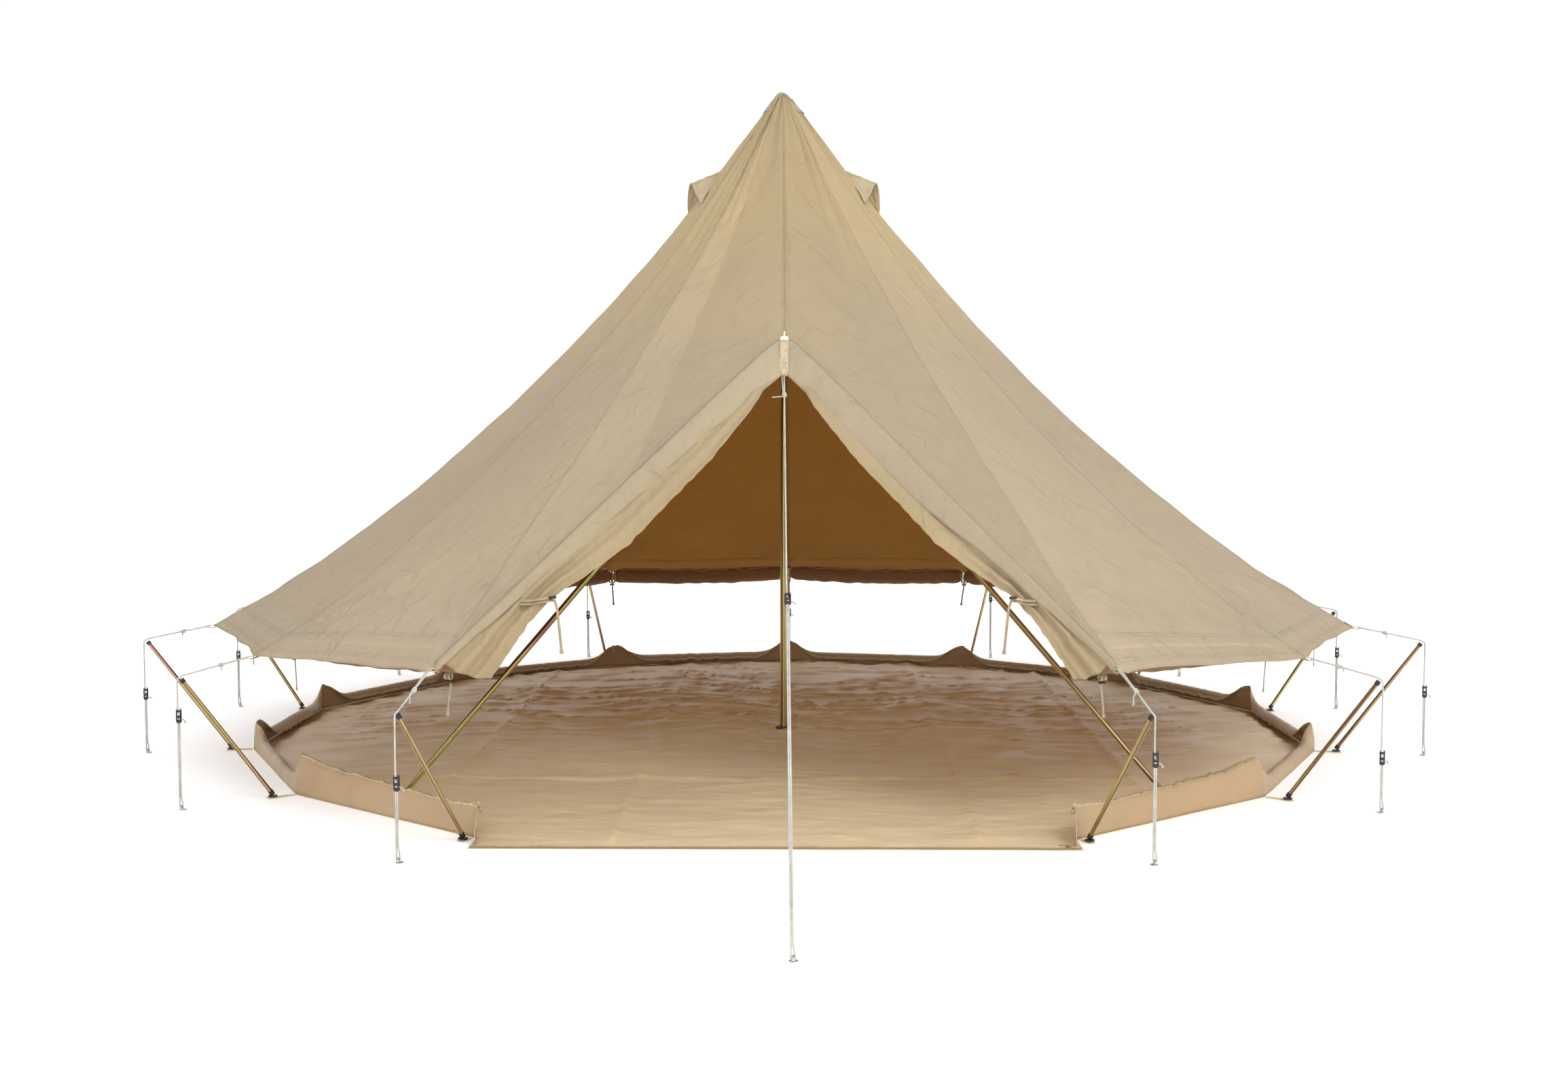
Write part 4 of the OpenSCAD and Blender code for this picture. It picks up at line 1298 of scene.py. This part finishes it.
def make_wall_rings():
    """A small ring at the top of each corner of the tub wall, held by a webbing tab."""
    rings, tabs = Shape(), Shape()
    for k in range(1, SIDES):
        foot = floor_corner(k)
        out, along = sides_of(foot)
        c = foot * 0.999 - out * 0.026 + Z * 0.098
        circle = [c + 0.008 * (math.cos(t) * along + math.sin(t) * Z)
                  for t in np.linspace(0, math.tau, 25)]
        rings.tube(circle, 0.0013, 8)
        strip = [c + Z * up + out * x for up, x in ((0.006, 0.002), (0.018, 0.008), (0.030, 0.011))]
        tabs.grid(np.array([[p + along * w for w in np.linspace(-0.007, 0.007, 4)]
                            for p in even(np.array(strip), 0.004)]))
    rings.make("wall_corner_rings", [STEEL], slot="galvanised_steel")
    thicken(tabs.make("wall_corner_tabs", [WEBBING], slot="webbing"), TAPE_T)


make_wall_rings()


ZIP_PROFILE = ((-0.010, 0.35), (-0.006, 0.75), (0.0, 1.0), (0.007, 1.15), (0.014, 0.8),
               (0.018, 0.0))


def make_zip():
    """The half zip along the groundsheet's front edge: a rippled tape, and a row of teeth."""
    y, z, half = -FLOOR_FRONT + 0.008, SHEET_TOP + 0.0003, FLOOR_FRONT_X - 0.004
    xs = np.linspace(-half, half, 420)
    sway = 0.0022 * wave(xs * 12.0, 130, 5, 0.7, 2.4)
    lift = 0.0042 + 0.0030 * wave(xs * 15.0, 131, 5, 0.7, 2.4)
    rows = [[vec(x, y + s + w, z + h * rise) for w, rise in ZIP_PROFILE]
            for x, s, h in zip(xs, sway, lift)]
    tape = Shape().grid(np.array(rows)).make("zip_tape", [ZIP_TAPE], slot="webbing")
    thicken(tape, ZIP_TAPE_T)
    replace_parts(tape, "door_zip")
    teeth = Shape()
    for i, x in enumerate(np.arange(-half + 0.004, half - 0.002, 0.0055)):
        at = y - 0.0085 + float(np.interp(x, xs, sway)) + (0.0006 if i % 2 else -0.0006)
        up = z + 0.45 * float(np.interp(x, xs, lift)) + 0.0014
        teeth.box((x, at, up), (0.0018, 0.0030, 0.0016), np.eye(3), 0.3)
    teeth.make("zip_teeth", [ZIP_METAL], slot="zip_metal")


make_zip()

# ---- Finishes of the CAD nodes that stay ----


def paint_node(name, material):
    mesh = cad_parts[name].data
    mesh.materials.clear()
    mesh.materials.append(material)


CAD_FINISH = {
    ZINC: ["centre_pole_section_1", "centre_pole_section_2", "centre_pole_section_3",
           "centre_pole_section_4", "door_frame_upper_legs", "door_frame_lower_legs", "wall_poles"],
    BLACK: ["centre_pole_foot", "centre_pole_plug", "door_frame_feet", "wall_pole_caps",
            "wall_pole_feet"],
    STEEL: ["door_frame_head", "tab_eyelets"],
    WHITE: ["door_spike_cap"],
    WEBBING: ["corner_tabs"],
    ZIP_METAL: ["zip_slider", "zip_pull"],
}
for finish, names in CAD_FINISH.items():
    for node_name in names:
        paint_node(node_name, finish)

# ---- Floor and light ----


STAGE_HALF, STAGE_Z = 60.0, -0.001


def make_stage():
    paper = Paint("stage_paper", roughness=0.9, specular=0.1)
    tone = paper.ramp(paper.noise(0.3, 2.0), [(0.3, (0.985,) * 3), (0.7, (0.995,) * 3)])
    paper.shader.inputs["Emission Color"].default_value = (1.0, 1.0, 1.0, 1.0)
    paper.shader.inputs["Emission Strength"].default_value = 0.14
    material = paper.finish(tone)
    mesh = bpy.data.meshes.new("stage_floor")
    corners = ((-1, -1), (1, -1), (1, 1), (-1, 1))
    corners = [(x * STAGE_HALF, y * STAGE_HALF, STAGE_Z) for x, y in corners]
    mesh.from_pydata(corners, [], [(0, 1, 2, 3)])
    mesh.materials.append(material)
    floor = bpy.data.objects.new("stage_floor", mesh)
    bpy.context.scene.collection.objects.link(floor)


def area_light(name, location, target, size, power, colour=(1, 1, 1)):
    data = bpy.data.lights.new(name, "AREA")
    data.shape, data.size, data.energy, data.color = "DISK", size, power, colour
    light = bpy.data.objects.new(name, data)
    light.location = location
    light.rotation_euler = (Vector(target) - Vector(location)).to_track_quat("-Z", "Y").to_euler()
    bpy.context.scene.collection.objects.link(light)


def make_light():
    world = bpy.data.worlds.new("world")
    bpy.context.scene.world = world
    world.use_nodes = True
    background = world.node_tree.nodes["Background"]
    background.inputs[0].default_value = (1.0, 1.0, 1.0, 1.0)
    background.inputs[1].default_value = 1.04
    area_light("key", (5.5, -9.0, 6.5), (0, 0, 0.6), 4.0, 430.0, (1.0, 0.99, 0.97))
    area_light("fill", (-0.8, -9.0, 2.4), (0, 0, 0.3), 3.0, 150.0)
    bpy.context.scene.view_settings.view_transform = "Standard"


make_stage()
make_light()
